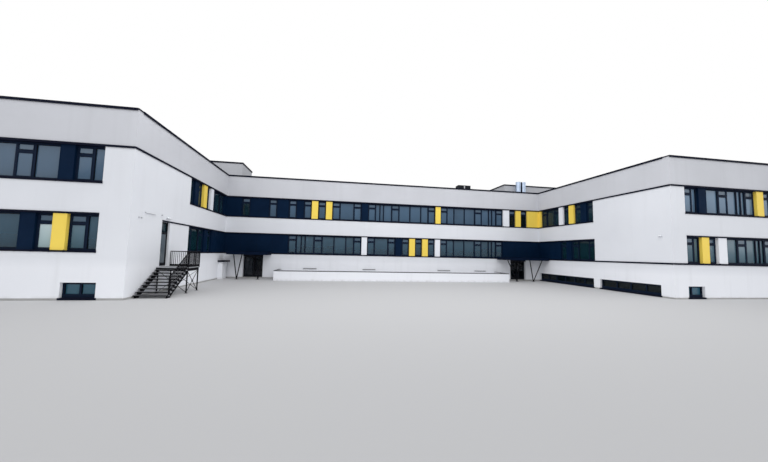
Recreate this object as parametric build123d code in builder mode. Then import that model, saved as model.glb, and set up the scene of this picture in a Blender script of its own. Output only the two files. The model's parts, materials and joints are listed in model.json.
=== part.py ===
from build123d import *
import os

# A two-storey school at half its real size, in millimetres: two wings and a centre block round a court.
# X runs along the front, Y to the back and Z up from the ground. Walls are read from outside, left to right.

# Plan
court_width = 17000
wing_width = 8000
wing_projection = 7100
centre_depth = 7500
wall = 200

# Heights
base_slab = 50
basement_head = 440
ground_floor = 800
storey = 1800
floor_slab = 125
sill_height = 445
row_height = 940
parapet_rise = 685
coping_thickness = 30
coping_overhang = 25

# Windows and the panels between them
tilt_light = 410
narrow_light = 240
slim_light = 195
middle_light = 440
wide_light = 610
broad_light = 725
end_light = 310
yellow_panel = 310
navy_panel = 335
slim_panel = 280
wide_panel = 365
navy_return = 270
yellow_return = 200
first_navy = 685
second_navy = 880
third_navy = 555
end_yellow = 715
left_hall_navy = 2970
right_hall_navy = 2230
left_return_navy = 1580
right_return_navy = 1700
row_margin = 715
near_row_margin = 590
bay_pier = 2150
inner_blank = 3270
wall_before_door = 1515
wall_past_door = 1300
side_door_width = 455
basement_corner = 80
basement_pier = 330
basement_end = 450
left_basement_margin = 660
right_basement_margin = 560
front_basement_pier = 5300
outer_basement_margin = 3250
outer_basement_pier = 6540
reveal = 90
frame_bar = 45
door_bar = 30
frame_depth = 35
pane = 12
panel_set = 60
navy_recess = 30
string_height = 45
string_proud = 20

# Entrances and doors
left_entrance = 900
left_entrance_width = 935
right_entrance_inset = 850
right_entrance_width = 950
entrance_head = 1075
side_door_head = 1850
entrance_reveal = 150
side_door_reveal = 55
leaf_thickness = 25
leaf_stile = 35
leaf_foot = 90
leaf_pane = 8
door_clearance = 6
meeting_gap = 8
pull_bar = 15
pull_length = 240
pull_height = 450
pull_standoff = 25
pull_inset = 18
hinge_radius = 6
hinge_length = 50
hinge_plate = 20
hinge_inset = 70
hinge_play = 0.3

# Stair to the side door
risers = 10
going = 118
tread_thickness = 20
tread_nosing = 12
stair_width = 850
stair_clearance = 40
stringer_inset = 30
stringer_plate = 12
stringer_depth = 115
door_step = 10
landing_length = 770
deck_thickness = 30
edge_channel = 90
leg = 30
brace = 14
rail_height = 480
rail_bar = 16
rail_picket = 8
rail_pitch = 55
rail_foot_gap = 60
rail_joint = 0.3

# Canopies over the entrances
canopy_underside = 1160
canopy_thickness = 130
canopy_depth = 900
column_radius = 22
column_inset = 250
left_canopy = 400
left_canopy_width = 1820
left_column_inset = 435
left_column_spread = 185
right_canopy_inset = 50
right_canopy_width = 2575
right_column_inset = 800
right_column_inner_spread = 200
right_column_outer_spread = 550

# Low wall in the court, service block, and what stands on the roof
area_wall_start = 2600
area_wall_end_inset = 2660
area_wall_out = 1300
area_wall_thickness = 125
area_wall_height = 465
area_coping = 30
service_block_out = 200
service_block_length = 550
service_block_from_corner = 150
service_block_height = 800
service_cap_thickness = 60
service_cap_out = 330
service_cap_overhang = 60
roof_house_width = 3850
roof_house_depth = 1830
roof_house_height = 1600
left_house_past_corner = 350
left_house_set_back = 950
right_house_past_corner = 925
right_house_set_back = 2030
duct_radius = 150
duct_height = 1750
duct_pitch = 350
duct_inset = 75
duct_stand_off = 30
unit_x = 4200
unit_width = 750
unit_depth = 400
unit_height = 700
unit_set_back = 600
unit_leg = 40
unit_leg_height = 325

half_court = court_width / 2
half_width = half_court + wing_width
depth = wing_projection + centre_depth
front_y = -depth / 2
court_y = front_y + wing_projection
back_y = depth / 2
first_floor = ground_floor + storey
roof = first_floor + storey
ground_sill = ground_floor + sill_height
ground_head = ground_sill + row_height
first_sill = ground_sill + storey
first_head = ground_head + storey
parapet_top = roof + parapet_rise
masonry_top = parapet_top - coping_thickness

# What a row is made of: each letter's kind and usual width
pieces = {
    "t": ("tilting", tilt_light),
    "k": ("fixed", tilt_light),
    "n": ("fixed", narrow_light),
    "s": ("fixed", slim_light),
    "m": ("fixed", middle_light),
    "w": ("fixed", wide_light),
    "b": ("fixed", broad_light),
    "e": ("fixed", end_light),
    "N": ("navy", navy_panel),
    "Y": ("yellow", yellow_panel),
    "y": ("yellow", slim_panel),
    "W": ("white", slim_panel),
    "V": ("white", wide_panel),
    "E": ("navy", first_navy),
    "F": ("navy", second_navy),
    "G": ("navy", third_navy),
    "S": ("navy", left_hall_navy),
    "R": ("navy", right_hall_navy),
    "H": ("navy", left_return_navy),
    "h": ("navy", right_return_navy),
    "I": ("navy", navy_return),
    "C": ("yellow", yellow_return),
    "Z": ("yellow", end_yellow),
    "M": ("wall", row_margin),
    "i": ("wall", near_row_margin),
    "P": ("wall", bay_pier),
    "B": ("wall", inner_blank),
    "A": ("wall", wall_before_door),
    "p": ("wall", wall_past_door),
    "D": ("door", side_door_width),
    "q": ("wall", basement_corner),
    "Q": ("wall", basement_pier),
    "r": ("wall", basement_end),
    "J": ("wall", left_basement_margin),
    "j": ("wall", right_basement_margin),
    "T": ("wall", front_basement_pier),
    "K": ("wall", outer_basement_margin),
    "L": ("wall", outer_basement_pier),
}
lights = ("tilting", "fixed")
panels = ("navy", "yellow", "white")


def split_row(row, length):
    """Share a wall's length among the pieces of a row, in proportion to their usual widths."""
    share = length / sum(pieces[letter][1] for letter in row) if row else 0
    spans = []
    left = 0
    for letter in row:
        kind, width = pieces[letter]
        spans.append((kind, left, left + width * share))
        left += width * share
    return spans


def runs_of(spans, kinds):
    """Neighbouring spans of the given kinds, gathered into runs."""
    runs = []
    open_run = False
    for span in spans:
        wanted = span[0] in kinds
        if wanted and open_run:
            runs[-1].append(span)
        elif wanted:
            runs.append([span])
        open_run = wanted
    return runs


class Facade:
    """A straight wall face, with its masonry from start to end and its rows of windows."""

    def __init__(self, x, y, along, length, ends, ground, first, basement):
        self.plane = Plane(origin=(x, y, 0), x_dir=(*along, 0), z_dir=(along[1], -along[0], 0))
        self.length = length
        self.start = ends[0]
        self.end = length + ends[1]
        self.basement = split_row(basement, length)
        self.ground = split_row(ground, length)
        self.first = split_row(first, length)
        self.rows = [
            (base_slab, basement_head, self.basement),
            (ground_sill, ground_head, self.ground),
            (first_sill, first_head, self.first),
        ]

    def masonry(self, spans):
        """The spans with the first and the last drawn out to the ends of the masonry."""
        drawn = []
        for number, (kind, left, right) in enumerate(spans):
            low = self.start if number == 0 else left
            high = self.end if number == len(spans) - 1 else right
            drawn.append((kind, low, high))
        return drawn


classroom = "tnsmtwwkt"
bay = "wtw"
side_row = "M" + (bay + "P") * 3 + bay + "M"
back_row = "M" + (bay + "P") * 8 + bay + "M"
left_front = Facade(
    -half_width, front_y, (1, 0), wing_width, (0, 0),
    ground="MntNmtVtsmwtwNtYteM", first="MtnwmNtmtYtwtwNteM", basement="JkkTkkJ",
)
left_inner = Facade(
    -half_court, front_y, (0, 1), wing_projection, (wall, 0),
    ground="ADptwtNtH", first="BtNtYtWtwtI", basement="",
)
court = Facade(
    -half_court, court_y, (1, 0), court_width, (-wall, wall),
    ground="S" + classroom + "WtbtNtYtYtW" + classroom[::-1] + "R",
    first="EtFtGtNtYtYtbtN" + classroom + "y" + classroom[::-1] + "VtYtZ",
    basement="",
)
right_inner = Facade(
    half_court, court_y, (0, -1), wing_projection, (0, -wall),
    ground="htNtwtB", first="CtwtWtYtNtB", basement="q" + "w" * 6 + "Qb" + "w" * 3 + "r",
)
right_front = Facade(
    half_court, front_y, (1, 0), wing_width, (0, 0),
    ground="itnYtVwtmsstNtwmtsnM", first="itnNwtmsstYtwntNtnmM", basement="jnmTmnj",
)
right_outer = Facade(
    half_width, front_y, (0, 1), depth, (wall, -wall),
    ground=side_row, first=side_row, basement="KkkLkkK",
)
back = Facade(
    half_width, back_y, (-1, 0), 2 * half_width, (0, 0),
    ground=back_row, first=back_row, basement="K" + "kkL" * 3 + "kkK",
)
left_outer = Facade(
    -half_width, back_y, (0, -1), depth, (wall, -wall),
    ground=side_row, first=side_row, basement="KkkLkkK",
)
faces = [left_front, court, right_front, back]
flanks = [left_inner, right_inner, left_outer, right_outer]
facades = faces + flanks


def block(left, right, bottom, top, mode=Mode.ADD):
    """A rectangle on the sketch in hand, given by its edges."""
    with Locations((left, bottom)):
        Rectangle(right - left, top - bottom, align=(Align.MIN, Align.MIN), mode=mode)


def wall_blocks(facade, rectangles, depth_in, thickness):
    """Blocks drawn on a wall face, running inwards from a depth behind it; a negative one runs outwards."""
    if rectangles:
        with BuildSketch(facade.plane.offset(-depth_in)) as outline:
            for edges in rectangles:
                block(*edges)
        extrude(outline.sketch, amount=-thickness)


def plan_slabs(rectangles, bottom, thickness):
    """Level slabs given by their edges in plan."""
    with BuildSketch(Plane.XY.offset(bottom)) as outline:
        for edges in rectangles:
            block(*edges)
    extrude(outline.sketch, amount=thickness)


def write(piece, name):
    """Label a finished piece and write it to its own file."""
    piece.part.label = name
    export_step(piece.part, f"parts/{name}.step")


os.makedirs("parts", exist_ok=True)

# Base slabs: the walls stand on them
with BuildPart() as wing_base_slabs:
    wing_plans = [
        (-half_width, -half_court, front_y, back_y),
        (half_court, half_width, front_y, back_y),
    ]
    plan_slabs(wing_plans, 0, base_slab)
write(wing_base_slabs, "wing_base_slabs")

with BuildPart() as centre_base_slab:
    plan_slabs([(-half_court, half_court, court_y, back_y)], 0, base_slab)
write(centre_base_slab, "centre_base_slab")

# Floors inside the walls; the stair halls at both ends of the centre are open from base to roof
wing_insides = [
    (-half_width + wall, -half_court - wall, front_y + wall, back_y - wall),
    (half_court + wall, half_width - wall, front_y + wall, back_y - wall),
]
centre_inside = (-half_court - wall, half_court + wall, court_y + wall, back_y - wall)
hall_ends = (-half_court + court.ground[0][2], -half_court + court.ground[-1][1])
between_halls = (*hall_ends, court_y + wall, back_y - wall)

for name, top in (("ground_floor_slabs", ground_floor), ("first_floor_slabs", first_floor)):
    with BuildPart() as floor_slabs:
        plan_slabs(wing_insides + [between_halls], top - floor_slab, floor_slab)
    write(floor_slabs, name)

with BuildPart() as wing_roof_slabs:
    plan_slabs(wing_insides, roof - floor_slab, floor_slab)
write(wing_roof_slabs, "wing_roof_slabs")

with BuildPart() as centre_roof_slab:
    plan_slabs([centre_inside], roof - floor_slab, floor_slab)
write(centre_roof_slab, "centre_roof_slab")

# Doorways: left and right edge on the wall face, foot and head
left_entrance_edges = (left_entrance, left_entrance + left_entrance_width)
right_entrance_edges = (
    court_width - right_entrance_inset - right_entrance_width,
    court_width - right_entrance_inset,
)
side_door_edges = left_inner.ground[1][1:]
door_cuts = {court: [left_entrance_edges, right_entrance_edges], left_inner: [side_door_edges]}


def plinth_blocks(facade):
    """The wall below the ground floor windows, open at the doors and over the basement windows."""
    foot = basement_head if facade.basement else base_slab
    rectangles = []
    left = facade.start
    for cut_left, cut_right in door_cuts.get(facade, []):
        rectangles.append((left, cut_left, foot, ground_sill))
        left = cut_right
    rectangles.append((left, facade.end, foot, ground_sill))
    return rectangles


def add_piers(facade):
    """The wall between the windows: full thickness, or thinner behind a panel."""
    bare = []
    clad = []
    for bottom, top, spans in facade.rows:
        for kind, left, right in facade.masonry(spans):
            if kind == "wall":
                bare.append((left, right, bottom, top))
            elif kind in panels:
                clad.append((left, right, bottom, top))
    wall_blocks(facade, bare, 0, wall)
    wall_blocks(facade, clad, panel_set, wall - panel_set)


# Walls: faces look to the front or the back, flanks look sideways
for group_name, group in (("face", faces), ("flank", flanks)):
    with BuildPart() as plinths:
        for facade in group:
            wall_blocks(facade, plinth_blocks(facade), 0, wall)
    write(plinths, f"{group_name}_plinths")

    with BuildPart() as piers:
        for facade in group:
            add_piers(facade)
        if left_inner in group:
            wall_blocks(left_inner, [(*side_door_edges, base_slab, ground_floor)], 0, wall)
    write(piers, f"{group_name}_piers")

    with BuildPart() as spandrels:
        for facade in group:
            wall_blocks(facade, [(facade.start, facade.end, ground_head, first_sill)], 0, wall)
    write(spandrels, f"{group_name}_spandrels")

    with BuildPart() as parapets:
        for facade in group:
            wall_blocks(facade, [(facade.start, facade.end, first_head, masonry_top)], 0, wall)
    write(parapets, f"{group_name}_parapets")

    # The copings of the faces run past the corners, and those of the flanks fit between them
    reach = coping_overhang if group_name == "face" else -coping_overhang
    with BuildPart() as copings:
        for facade in group:
            strip = (facade.start - reach, facade.end + reach, masonry_top, parapet_top)
            wall_blocks(facade, [strip], -coping_overhang, wall + 2 * coping_overhang)
    write(copings, f"{group_name}_copings")

with BuildPart() as entrance_lintels:
    lintels = [(*edges, entrance_head, ground_sill) for edges in door_cuts[court]]
    wall_blocks(court, lintels, 0, wall)
write(entrance_lintels, "entrance_lintels")

def into_corners(facade, left, right, recess):
    """A panel's edges, drawn on where two panels meet in a corner of the court, the inner wall's on the other's face."""
    at_start = left == 0 and facade in (court, right_inner)
    at_end = right > facade.length - 1 and facade in (court, left_inner)
    past = panel_set if facade is court else recess
    return left - (past if at_start else 0), right + (past if at_end else 0)


# Panels between the windows, one node for each colour
for colour, recess in (("navy", navy_recess), ("yellow", 0), ("white", 0)):
    with BuildPart() as colour_panels:
        for facade in facades:
            rectangles = []
            for bottom, top, spans in facade.rows:
                for kind, left, right in spans:
                    if kind == colour:
                        low, high = into_corners(facade, left, right, recess)
                        rectangles.append((low, high, bottom, top))
            wall_blocks(facade, rectangles, recess, panel_set - recess)
    write(colour_panels, f"{colour}_panels")


def add_window_frames(facade, bottom, top, spans):
    """A lattice for each run of lights: bars round it and a mullion between lights."""
    for run in runs_of(spans, lights):
        with BuildSketch(facade.plane.offset(-reveal)) as lattice:
            block(run[0][1], run[-1][2], bottom, top)
            for _, left, right in run:
                low = left + (frame_bar if left == run[0][1] else frame_bar / 2)
                high = right - (frame_bar if right == run[-1][2] else frame_bar / 2)
                block(low, high, bottom + frame_bar, top - frame_bar, mode=Mode.SUBTRACT)
        extrude(lattice.sketch, amount=-frame_depth)


# Windows: a frame with its glass behind it for each run of lights
for number, name in enumerate(("basement", "ground_floor", "first_floor")):
    with BuildPart() as window_frames:
        for facade in facades:
            add_window_frames(facade, *facade.rows[number])
    write(window_frames, f"{name}_window_frames")

    with BuildPart() as window_glass:
        for facade in facades:
            bottom, top, spans = facade.rows[number]
            sheets = [(run[0][1], run[-1][2], bottom, top) for run in runs_of(spans, lights)]
            wall_blocks(facade, sheets, reveal + frame_depth, pane)
    write(window_glass, f"{name}_window_glass")

# Dark lines at the sills and heads of the rows, some of them drawn on along the blank wall
with BuildPart() as string_courses:
    for facade in facades:
        strips = []
        for bottom, top, spans in facade.rows:
            for run in runs_of(spans, lights + panels):
                if spans is not facade.basement:
                    strips.append((run[0][1], run[-1][2], bottom - string_height, bottom))
                    strips.append((run[0][1], run[-1][2], top, top + string_height))
        if facade in (left_inner, court, right_inner):
            strips.append((0, facade.length, first_head, first_head + string_height))
        elif facade in (left_front, right_front):
            past = string_proud
            strips.append((-past, facade.length + past, first_head, first_head + string_height))
        if facade is right_inner:
            strips.append((0, facade.length, ground_sill - string_height, ground_sill))
        elif facade is right_front:
            strips.append((-string_proud, facade.length, ground_sill - string_height, ground_sill))
        elif facade is left_inner:
            strips.append((side_door_edges[0], facade.length, ground_head, ground_head + string_height))
        wall_blocks(facade, strips, 0, -string_proud)
write(string_courses, "string_courses")


class Doorway:
    """A framed doorway in a wall; its leaves fill the frame up to the leaf head."""

    def __init__(self, facade, edges, reveal, foot, leaf_head, head):
        self.facade = facade
        self.reveal = reveal
        self.left, self.right = edges
        self.foot = foot
        self.leaf_head = leaf_head
        self.head = head

    def add_frame(self):
        """Jambs and a head, with a transom bar where there is glass over the leaves."""
        with BuildSketch(self.facade.plane.offset(-self.reveal)) as outline:
            block(self.left, self.right, self.foot, self.head)
            inner = (self.left + door_bar, self.right - door_bar)
            block(*inner, self.foot, self.leaf_head, mode=Mode.SUBTRACT)
            if self.head > self.leaf_head + 2 * door_bar:
                glass_foot = self.leaf_head + door_bar
                block(*inner, glass_foot, self.head - door_bar, mode=Mode.SUBTRACT)
        extrude(outline.sketch, amount=-frame_depth)

    def leaf_edges(self, side):
        """Left, right, bottom and top of a leaf: the left or right one of a pair, or a single one."""
        left = self.left + door_bar + door_clearance
        right = self.right - door_bar - door_clearance
        middle = (self.left + self.right) / 2
        if side == "left":
            right = middle - meeting_gap / 2
        elif side == "right":
            left = middle + meeting_gap / 2
        return left, right, self.foot + door_clearance, self.leaf_head - door_clearance

    def add_leaf(self, side):
        """Stiles and rails, with a pull by the meeting edge."""
        left, right, bottom, top = self.leaf_edges(side)
        with BuildSketch(self.facade.plane.offset(-self.reveal)) as outline:
            block(left, right, bottom, top)
            opening = (left + leaf_stile, right - leaf_stile, bottom + leaf_foot, top - leaf_stile)
            block(*opening, mode=Mode.SUBTRACT)
        extrude(outline.sketch, amount=-leaf_thickness)
        across = right - pull_inset if side == "left" else left + pull_inset
        foot = self.foot + pull_height
        with BuildSketch(self.facade.plane.offset(-self.reveal)) as feet:
            with Locations((across, foot + pull_bar), (across, foot + pull_length - pull_bar)):
                Rectangle(pull_bar, pull_bar)
        extrude(feet.sketch, amount=pull_standoff)
        grip = (across - pull_bar / 2, across + pull_bar / 2, foot, foot + pull_length)
        wall_blocks(self.facade, [grip], self.reveal - pull_standoff, -pull_bar)
        self.add_hinges(side, bottom, top)

    def add_hinges(self, side, bottom, top):
        """Two knuckles on the hinge line just in front of the frame, each on a plate on the leaf."""
        across, out = self.hinge_line(side)
        plate = (across + door_clearance / 2, across + hinge_plate)
        if side != "left":
            plate = (across - hinge_plate, across - door_clearance / 2)
        for centre in (bottom + hinge_inset, top - hinge_inset):
            foot = centre - hinge_length / 2
            with BuildSketch(self.facade.plane.offset(-self.reveal)) as flap:
                block(*plate, foot, foot + hinge_length)
            extrude(flap.sketch, amount=hinge_radius)
            knuckle = Plane(self.facade.plane.from_local_coords((across, foot, out)))
            with BuildSketch(knuckle) as section:
                Circle(hinge_radius - hinge_play)
            extrude(section.sketch, amount=hinge_length)

    def add_leaf_glass(self, side):
        """The pane inside a leaf's stiles and rails."""
        left, right, bottom, top = self.leaf_edges(side)
        edges = (left + leaf_stile, right - leaf_stile, bottom + leaf_foot, top - leaf_stile)
        wall_blocks(self.facade, [edges], self.reveal + (leaf_thickness - leaf_pane) / 2, leaf_pane)

    def hinge_line(self, side):
        """How far along the wall face a leaf's hinge line stands, and how far out of it."""
        across = self.left + door_bar if side == "left" else self.right - door_bar
        return across, hinge_radius - self.reveal


entrance_levels = (base_slab, entrance_head - door_bar, entrance_head)
left_doorway = Doorway(court, left_entrance_edges, entrance_reveal, *entrance_levels)
right_doorway = Doorway(court, right_entrance_edges, entrance_reveal, *entrance_levels)
side_door_levels = (ground_floor, side_door_head, ground_head)
side_doorway = Doorway(left_inner, side_door_edges, side_door_reveal, *side_door_levels)

# Door frames
with BuildPart() as entrance_frames:
    left_doorway.add_frame()
    right_doorway.add_frame()
write(entrance_frames, "entrance_frames")

with BuildPart() as side_door_frame:
    side_doorway.add_frame()
write(side_door_frame, "side_door_frame")

with BuildPart() as side_door_transom_glass:
    transom_glass = (*side_door_edges, side_door_head, ground_head)
    wall_blocks(left_inner, [transom_glass], side_door_reveal + frame_depth, pane)
write(side_door_transom_glass, "side_door_transom_glass")

# Door leaves: two in each entrance, one at the side door, hung on its right
hung_leaves = [
    ("left_entrance_left_leaf", left_doorway, "left"),
    ("left_entrance_right_leaf", left_doorway, "right"),
    ("right_entrance_left_leaf", right_doorway, "left"),
    ("right_entrance_right_leaf", right_doorway, "right"),
    ("side_door_leaf", side_doorway, "single"),
]
for name, doorway, side in hung_leaves:
    with BuildPart() as leaf:
        doorway.add_leaf(side)
    write(leaf, name)

    with BuildPart() as leaf_glass:
        doorway.add_leaf_glass(side)
    write(leaf_glass, f"{name}_glass")

# Stair: open treads on two sawtooth stringers, along the left wing's inner wall
landing_top = ground_floor - door_step
rise = landing_top / risers
landing_start = (side_door_edges[0] + side_door_edges[1] - landing_length) / 2
landing_end = landing_start + landing_length
flight_start = landing_start - (risers - 1) * going
stair_outer = stair_clearance + stair_width
stair_plane = left_inner.plane

with BuildPart() as stair_treads:
    for step in range(1, risers):
        back_edge = flight_start + step * going
        tread = (back_edge - going - tread_nosing, back_edge - tread_nosing)
        height = step * rise
        wall_blocks(left_inner, [(*tread, height - tread_thickness, height)], -stair_outer, stair_width)
write(stair_treads, "stair_treads")

with BuildPart() as stair_stringers:
    for depth_out in (stair_clearance + stringer_inset + stringer_plate, stair_outer - stringer_inset):
        with BuildSketch(stair_plane.offset(depth_out)) as sawtooth:
            with BuildLine():
                corners = [(flight_start, 0)]
                for step in range(1, risers):
                    seat = step * rise - tread_thickness
                    corners.append((flight_start + (step - 1) * going, seat))
                    corners.append((flight_start + step * going, seat))
                underside = (landing_start, landing_top - rise - tread_thickness - stringer_depth)
                slope_foot = (flight_start + stringer_depth * going / rise, 0)
                Polyline(*corners, underside, slope_foot, close=True)
            make_face()
        extrude(sawtooth.sketch, amount=-stringer_plate)
write(stair_stringers, "stair_stringers")

# Landing: a deck on a ring of channels fixed to the wall, four legs and crossed braces
with BuildPart() as landing_deck:
    deck = (landing_start, landing_end, landing_top - deck_thickness, landing_top)
    wall_blocks(left_inner, [deck], -stair_outer, stair_outer)
write(landing_deck, "landing_deck")

channel_top = landing_top - deck_thickness
channel_foot = channel_top - edge_channel
with BuildPart() as landing_channels:
    ring = (landing_start, landing_end, channel_foot, channel_top)
    wall_blocks(left_inner, [ring], -stair_outer, stair_outer)
    with BuildSketch(stair_plane.offset(stair_outer - leg)) as hollow:
        block(landing_start + leg, landing_end - leg, channel_foot, channel_top)
    extrude(hollow.sketch, amount=-(stair_outer - 2 * leg), mode=Mode.SUBTRACT)
write(landing_channels, "landing_channels")

with BuildPart() as landing_legs:
    for depth_out in (stair_clearance + leg, stair_outer):
        edges = [
            (landing_start, landing_start + leg, 0, channel_foot),
            (landing_end - leg, landing_end, 0, channel_foot),
        ]
        wall_blocks(left_inner, edges, -depth_out, leg)
write(landing_legs, "landing_legs")


def add_cross(plane, left, right, bottom, top, thickness):
    """Two crossed bars that fill a frame from corner to corner."""
    with BuildSketch(plane) as cross:
        for low, high in ((bottom, top), (top, bottom)):
            with BuildLine():
                Polyline(
                    (left, low), (left, low + (brace if low < high else -brace)),
                    (right, high), (right, high + (brace if low > high else -brace)), close=True,
                )
            make_face()
    extrude(cross.sketch, amount=thickness)


with BuildPart() as landing_braces:
    outer_plane = stair_plane.offset(stair_outer - (leg + brace) / 2)
    add_cross(outer_plane, landing_start + leg, landing_end - leg, leg, channel_foot, brace)
    for across in (landing_start + (leg - brace) / 2, landing_end - (leg + brace) / 2):
        end_plane = Plane(
            origin=stair_plane.from_local_coords((across, 0, 0)),
            x_dir=stair_plane.z_dir, z_dir=-stair_plane.x_dir,
        )
        add_cross(end_plane, stair_clearance + leg, stair_outer - leg, leg, channel_foot, -brace)
write(landing_braces, "landing_braces")


def add_railing(plane, start, end, foot_start, foot_end, post_foot, thickness):
    """A flat railing between two posts: handrail, bottom rail and pickets, level or along a slope."""
    slope = (foot_end - foot_start) / (end - start)

    def height(across, above):
        return foot_start + (across - start) * slope + above

    with BuildSketch(plane) as railing:
        for above in (rail_height, rail_foot_gap):
            Polygon(
                (start, height(start, above)), (end, height(end, above)),
                (end, height(end, above - rail_bar)), (start, height(start, above - rail_bar)), align=None,
            )
        for edge in (start, end - rail_bar):
            block(edge, edge + rail_bar, height(edge, post_foot), height(edge, rail_height - rail_bar / 2))
        pickets = round((end - start) / rail_pitch)
        for number in range(1, pickets):
            middle = start + (end - start) * number / pickets
            low = height(middle, rail_foot_gap - rail_bar / 2)
            block(middle - rail_picket / 2, middle + rail_picket / 2, low, height(middle, rail_height - rail_bar / 2))
    extrude(railing.sketch, amount=thickness)


with BuildPart() as stair_railing:
    add_railing(
        stair_plane.offset(stair_outer), flight_start - tread_nosing, landing_start,
        rise, landing_top, -tread_thickness, rail_bar,
    )
write(stair_railing, "stair_railing")

with BuildPart() as landing_railings:
    add_railing(
        stair_plane.offset(stair_outer), landing_start, landing_end + rail_bar,
        landing_top, landing_top, -deck_thickness, rail_bar,
    )
    end_face = Plane(
        origin=stair_plane.from_local_coords((landing_end, 0, 0)),
        x_dir=stair_plane.z_dir, z_dir=-stair_plane.x_dir,
    )
    add_railing(
        end_face, 0, stair_outer - rail_joint,
        landing_top, landing_top, -deck_thickness, -rail_bar,
    )
write(landing_railings, "landing_railings")

# Canopies: a dark slab against the string course, on raking columns that meet in a foot
left_canopy_edges = (left_canopy, left_canopy + left_canopy_width)
right_canopy_edges = (
    court_width - right_canopy_inset - right_canopy_width,
    court_width - right_canopy_inset,
)
canopy_front = string_proud + canopy_depth
with BuildPart() as canopies:
    slabs = []
    for edges in (left_canopy_edges, right_canopy_edges):
        slabs.append((*edges, canopy_underside, canopy_underside + canopy_thickness))
    wall_blocks(court, slabs, -canopy_front, canopy_depth)
write(canopies, "canopies")


def add_column(across, left_spread, right_spread):
    """Two round arms from one foot on the ground up to the underside of a canopy."""
    out = canopy_front - column_inset
    for lean in (-left_spread, right_spread):
        foot = court.plane.from_local_coords((across, 0, out))
        head = court.plane.from_local_coords((across + lean, canopy_underside, out))
        arm = head - foot
        with BuildSketch(Plane(origin=foot - arm * 0.1, x_dir=(0, 1, 0), z_dir=arm)) as section:
            Circle(column_radius)
        extrude(section.sketch, amount=arm.length * 1.2)


with BuildPart() as canopy_columns:
    left_foot = left_canopy_edges[0] + left_column_inset
    right_foot = left_canopy_edges[1] - left_column_inset
    for across in (left_foot, right_foot):
        add_column(across, left_column_spread, left_column_spread)
    left_foot = right_canopy_edges[0] + right_column_inset
    right_foot = right_canopy_edges[1] - right_column_inset
    add_column(left_foot, right_column_outer_spread, right_column_inner_spread)
    add_column(right_foot, right_column_inner_spread, right_column_outer_spread)
    split(bisect_by=Plane.XY, keep=Keep.TOP)
    split(bisect_by=Plane.XY.offset(canopy_underside), keep=Keep.BOTTOM)
write(canopy_columns, "canopy_columns")

# Low wall round the area in front of the centre, with its coping
area_edges = (area_wall_start, court_width - area_wall_end_inset)
for name, bottom, top in (
    ("area_wall", 0, area_wall_height - area_coping),
    ("area_wall_coping", area_wall_height - area_coping, area_wall_height),
):
    with BuildPart() as low_wall:
        with BuildSketch(Plane(court.plane.origin).offset(bottom)) as outline:
            block(*area_edges, -area_wall_out, 0)
            inside = (area_edges[0] + area_wall_thickness, area_edges[1] - area_wall_thickness)
            block(*inside, area_wall_thickness - area_wall_out, 0, mode=Mode.SUBTRACT)
        extrude(outline.sketch, amount=top - bottom)
    write(low_wall, name)

# Service block against the left wing, under an overhanging cap
service_edges = (
    wing_projection - service_block_from_corner - service_block_length,
    wing_projection - service_block_from_corner,
)
with BuildPart() as service_block:
    wall_blocks(left_inner, [(*service_edges, 0, service_block_height)], 0, -service_block_out)
write(service_block, "service_block")

with BuildPart() as service_block_cap:
    cap = (service_edges[0] - service_cap_overhang, service_edges[1] + service_cap_overhang)
    cap_levels = (service_block_height, service_block_height + service_cap_thickness)
    wall_blocks(left_inner, [(*cap, *cap_levels)], 0, -service_cap_out)
write(service_block_cap, "service_block_cap")

# Roof houses with their copings
left_house_right = -half_court + left_house_past_corner
right_house_left = half_court - right_house_past_corner
left_house_front = court_y + left_house_set_back
right_house_front = court_y + right_house_set_back
houses = [
    (left_house_right - roof_house_width, left_house_right, left_house_front),
    (right_house_left, right_house_left + roof_house_width, right_house_front),
]
with BuildPart() as roof_houses:
    plans = [(left, right, front, front + roof_house_depth) for left, right, front in houses]
    plan_slabs(plans, roof, roof_house_height - coping_thickness)
write(roof_houses, "roof_houses")

with BuildPart() as roof_house_copings:
    plans = []
    for left, right, front in houses:
        rim = coping_overhang
        plans.append((left - rim, right + rim, front - rim, front + roof_house_depth + rim))
    plan_slabs(plans, roof + roof_house_height - coping_thickness, coping_thickness)
write(roof_house_copings, "roof_house_copings")

# Two vent ducts in front of the right roof house, and an air unit on legs over the centre
with BuildPart() as vent_ducts:
    duct_y = right_house_front - coping_overhang - duct_stand_off - duct_radius
    first_duct = half_court - duct_inset
    with BuildSketch(Plane.XY.offset(roof)):
        with Locations((first_duct, duct_y), (first_duct + duct_pitch, duct_y)):
            Circle(duct_radius)
    extrude(amount=duct_height)
write(vent_ducts, "vent_ducts")

with BuildPart() as air_unit:
    unit_y = court_y + wall + unit_set_back
    with BuildSketch(Plane.XY.offset(roof)):
        with Locations((unit_x, unit_y)):
            with GridLocations(unit_width - unit_leg, unit_depth - unit_leg, 2, 2):
                Rectangle(unit_leg, unit_leg)
    extrude(amount=unit_leg_height)
    with BuildSketch(Plane.XY.offset(roof + unit_leg_height)):
        with Locations((unit_x, unit_y)):
            Rectangle(unit_width, unit_depth)
    extrude(amount=unit_height)
write(air_unit, "air_unit")
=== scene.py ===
import json
import math

import bmesh
import bpy
from mathutils import Matrix, Vector


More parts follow.
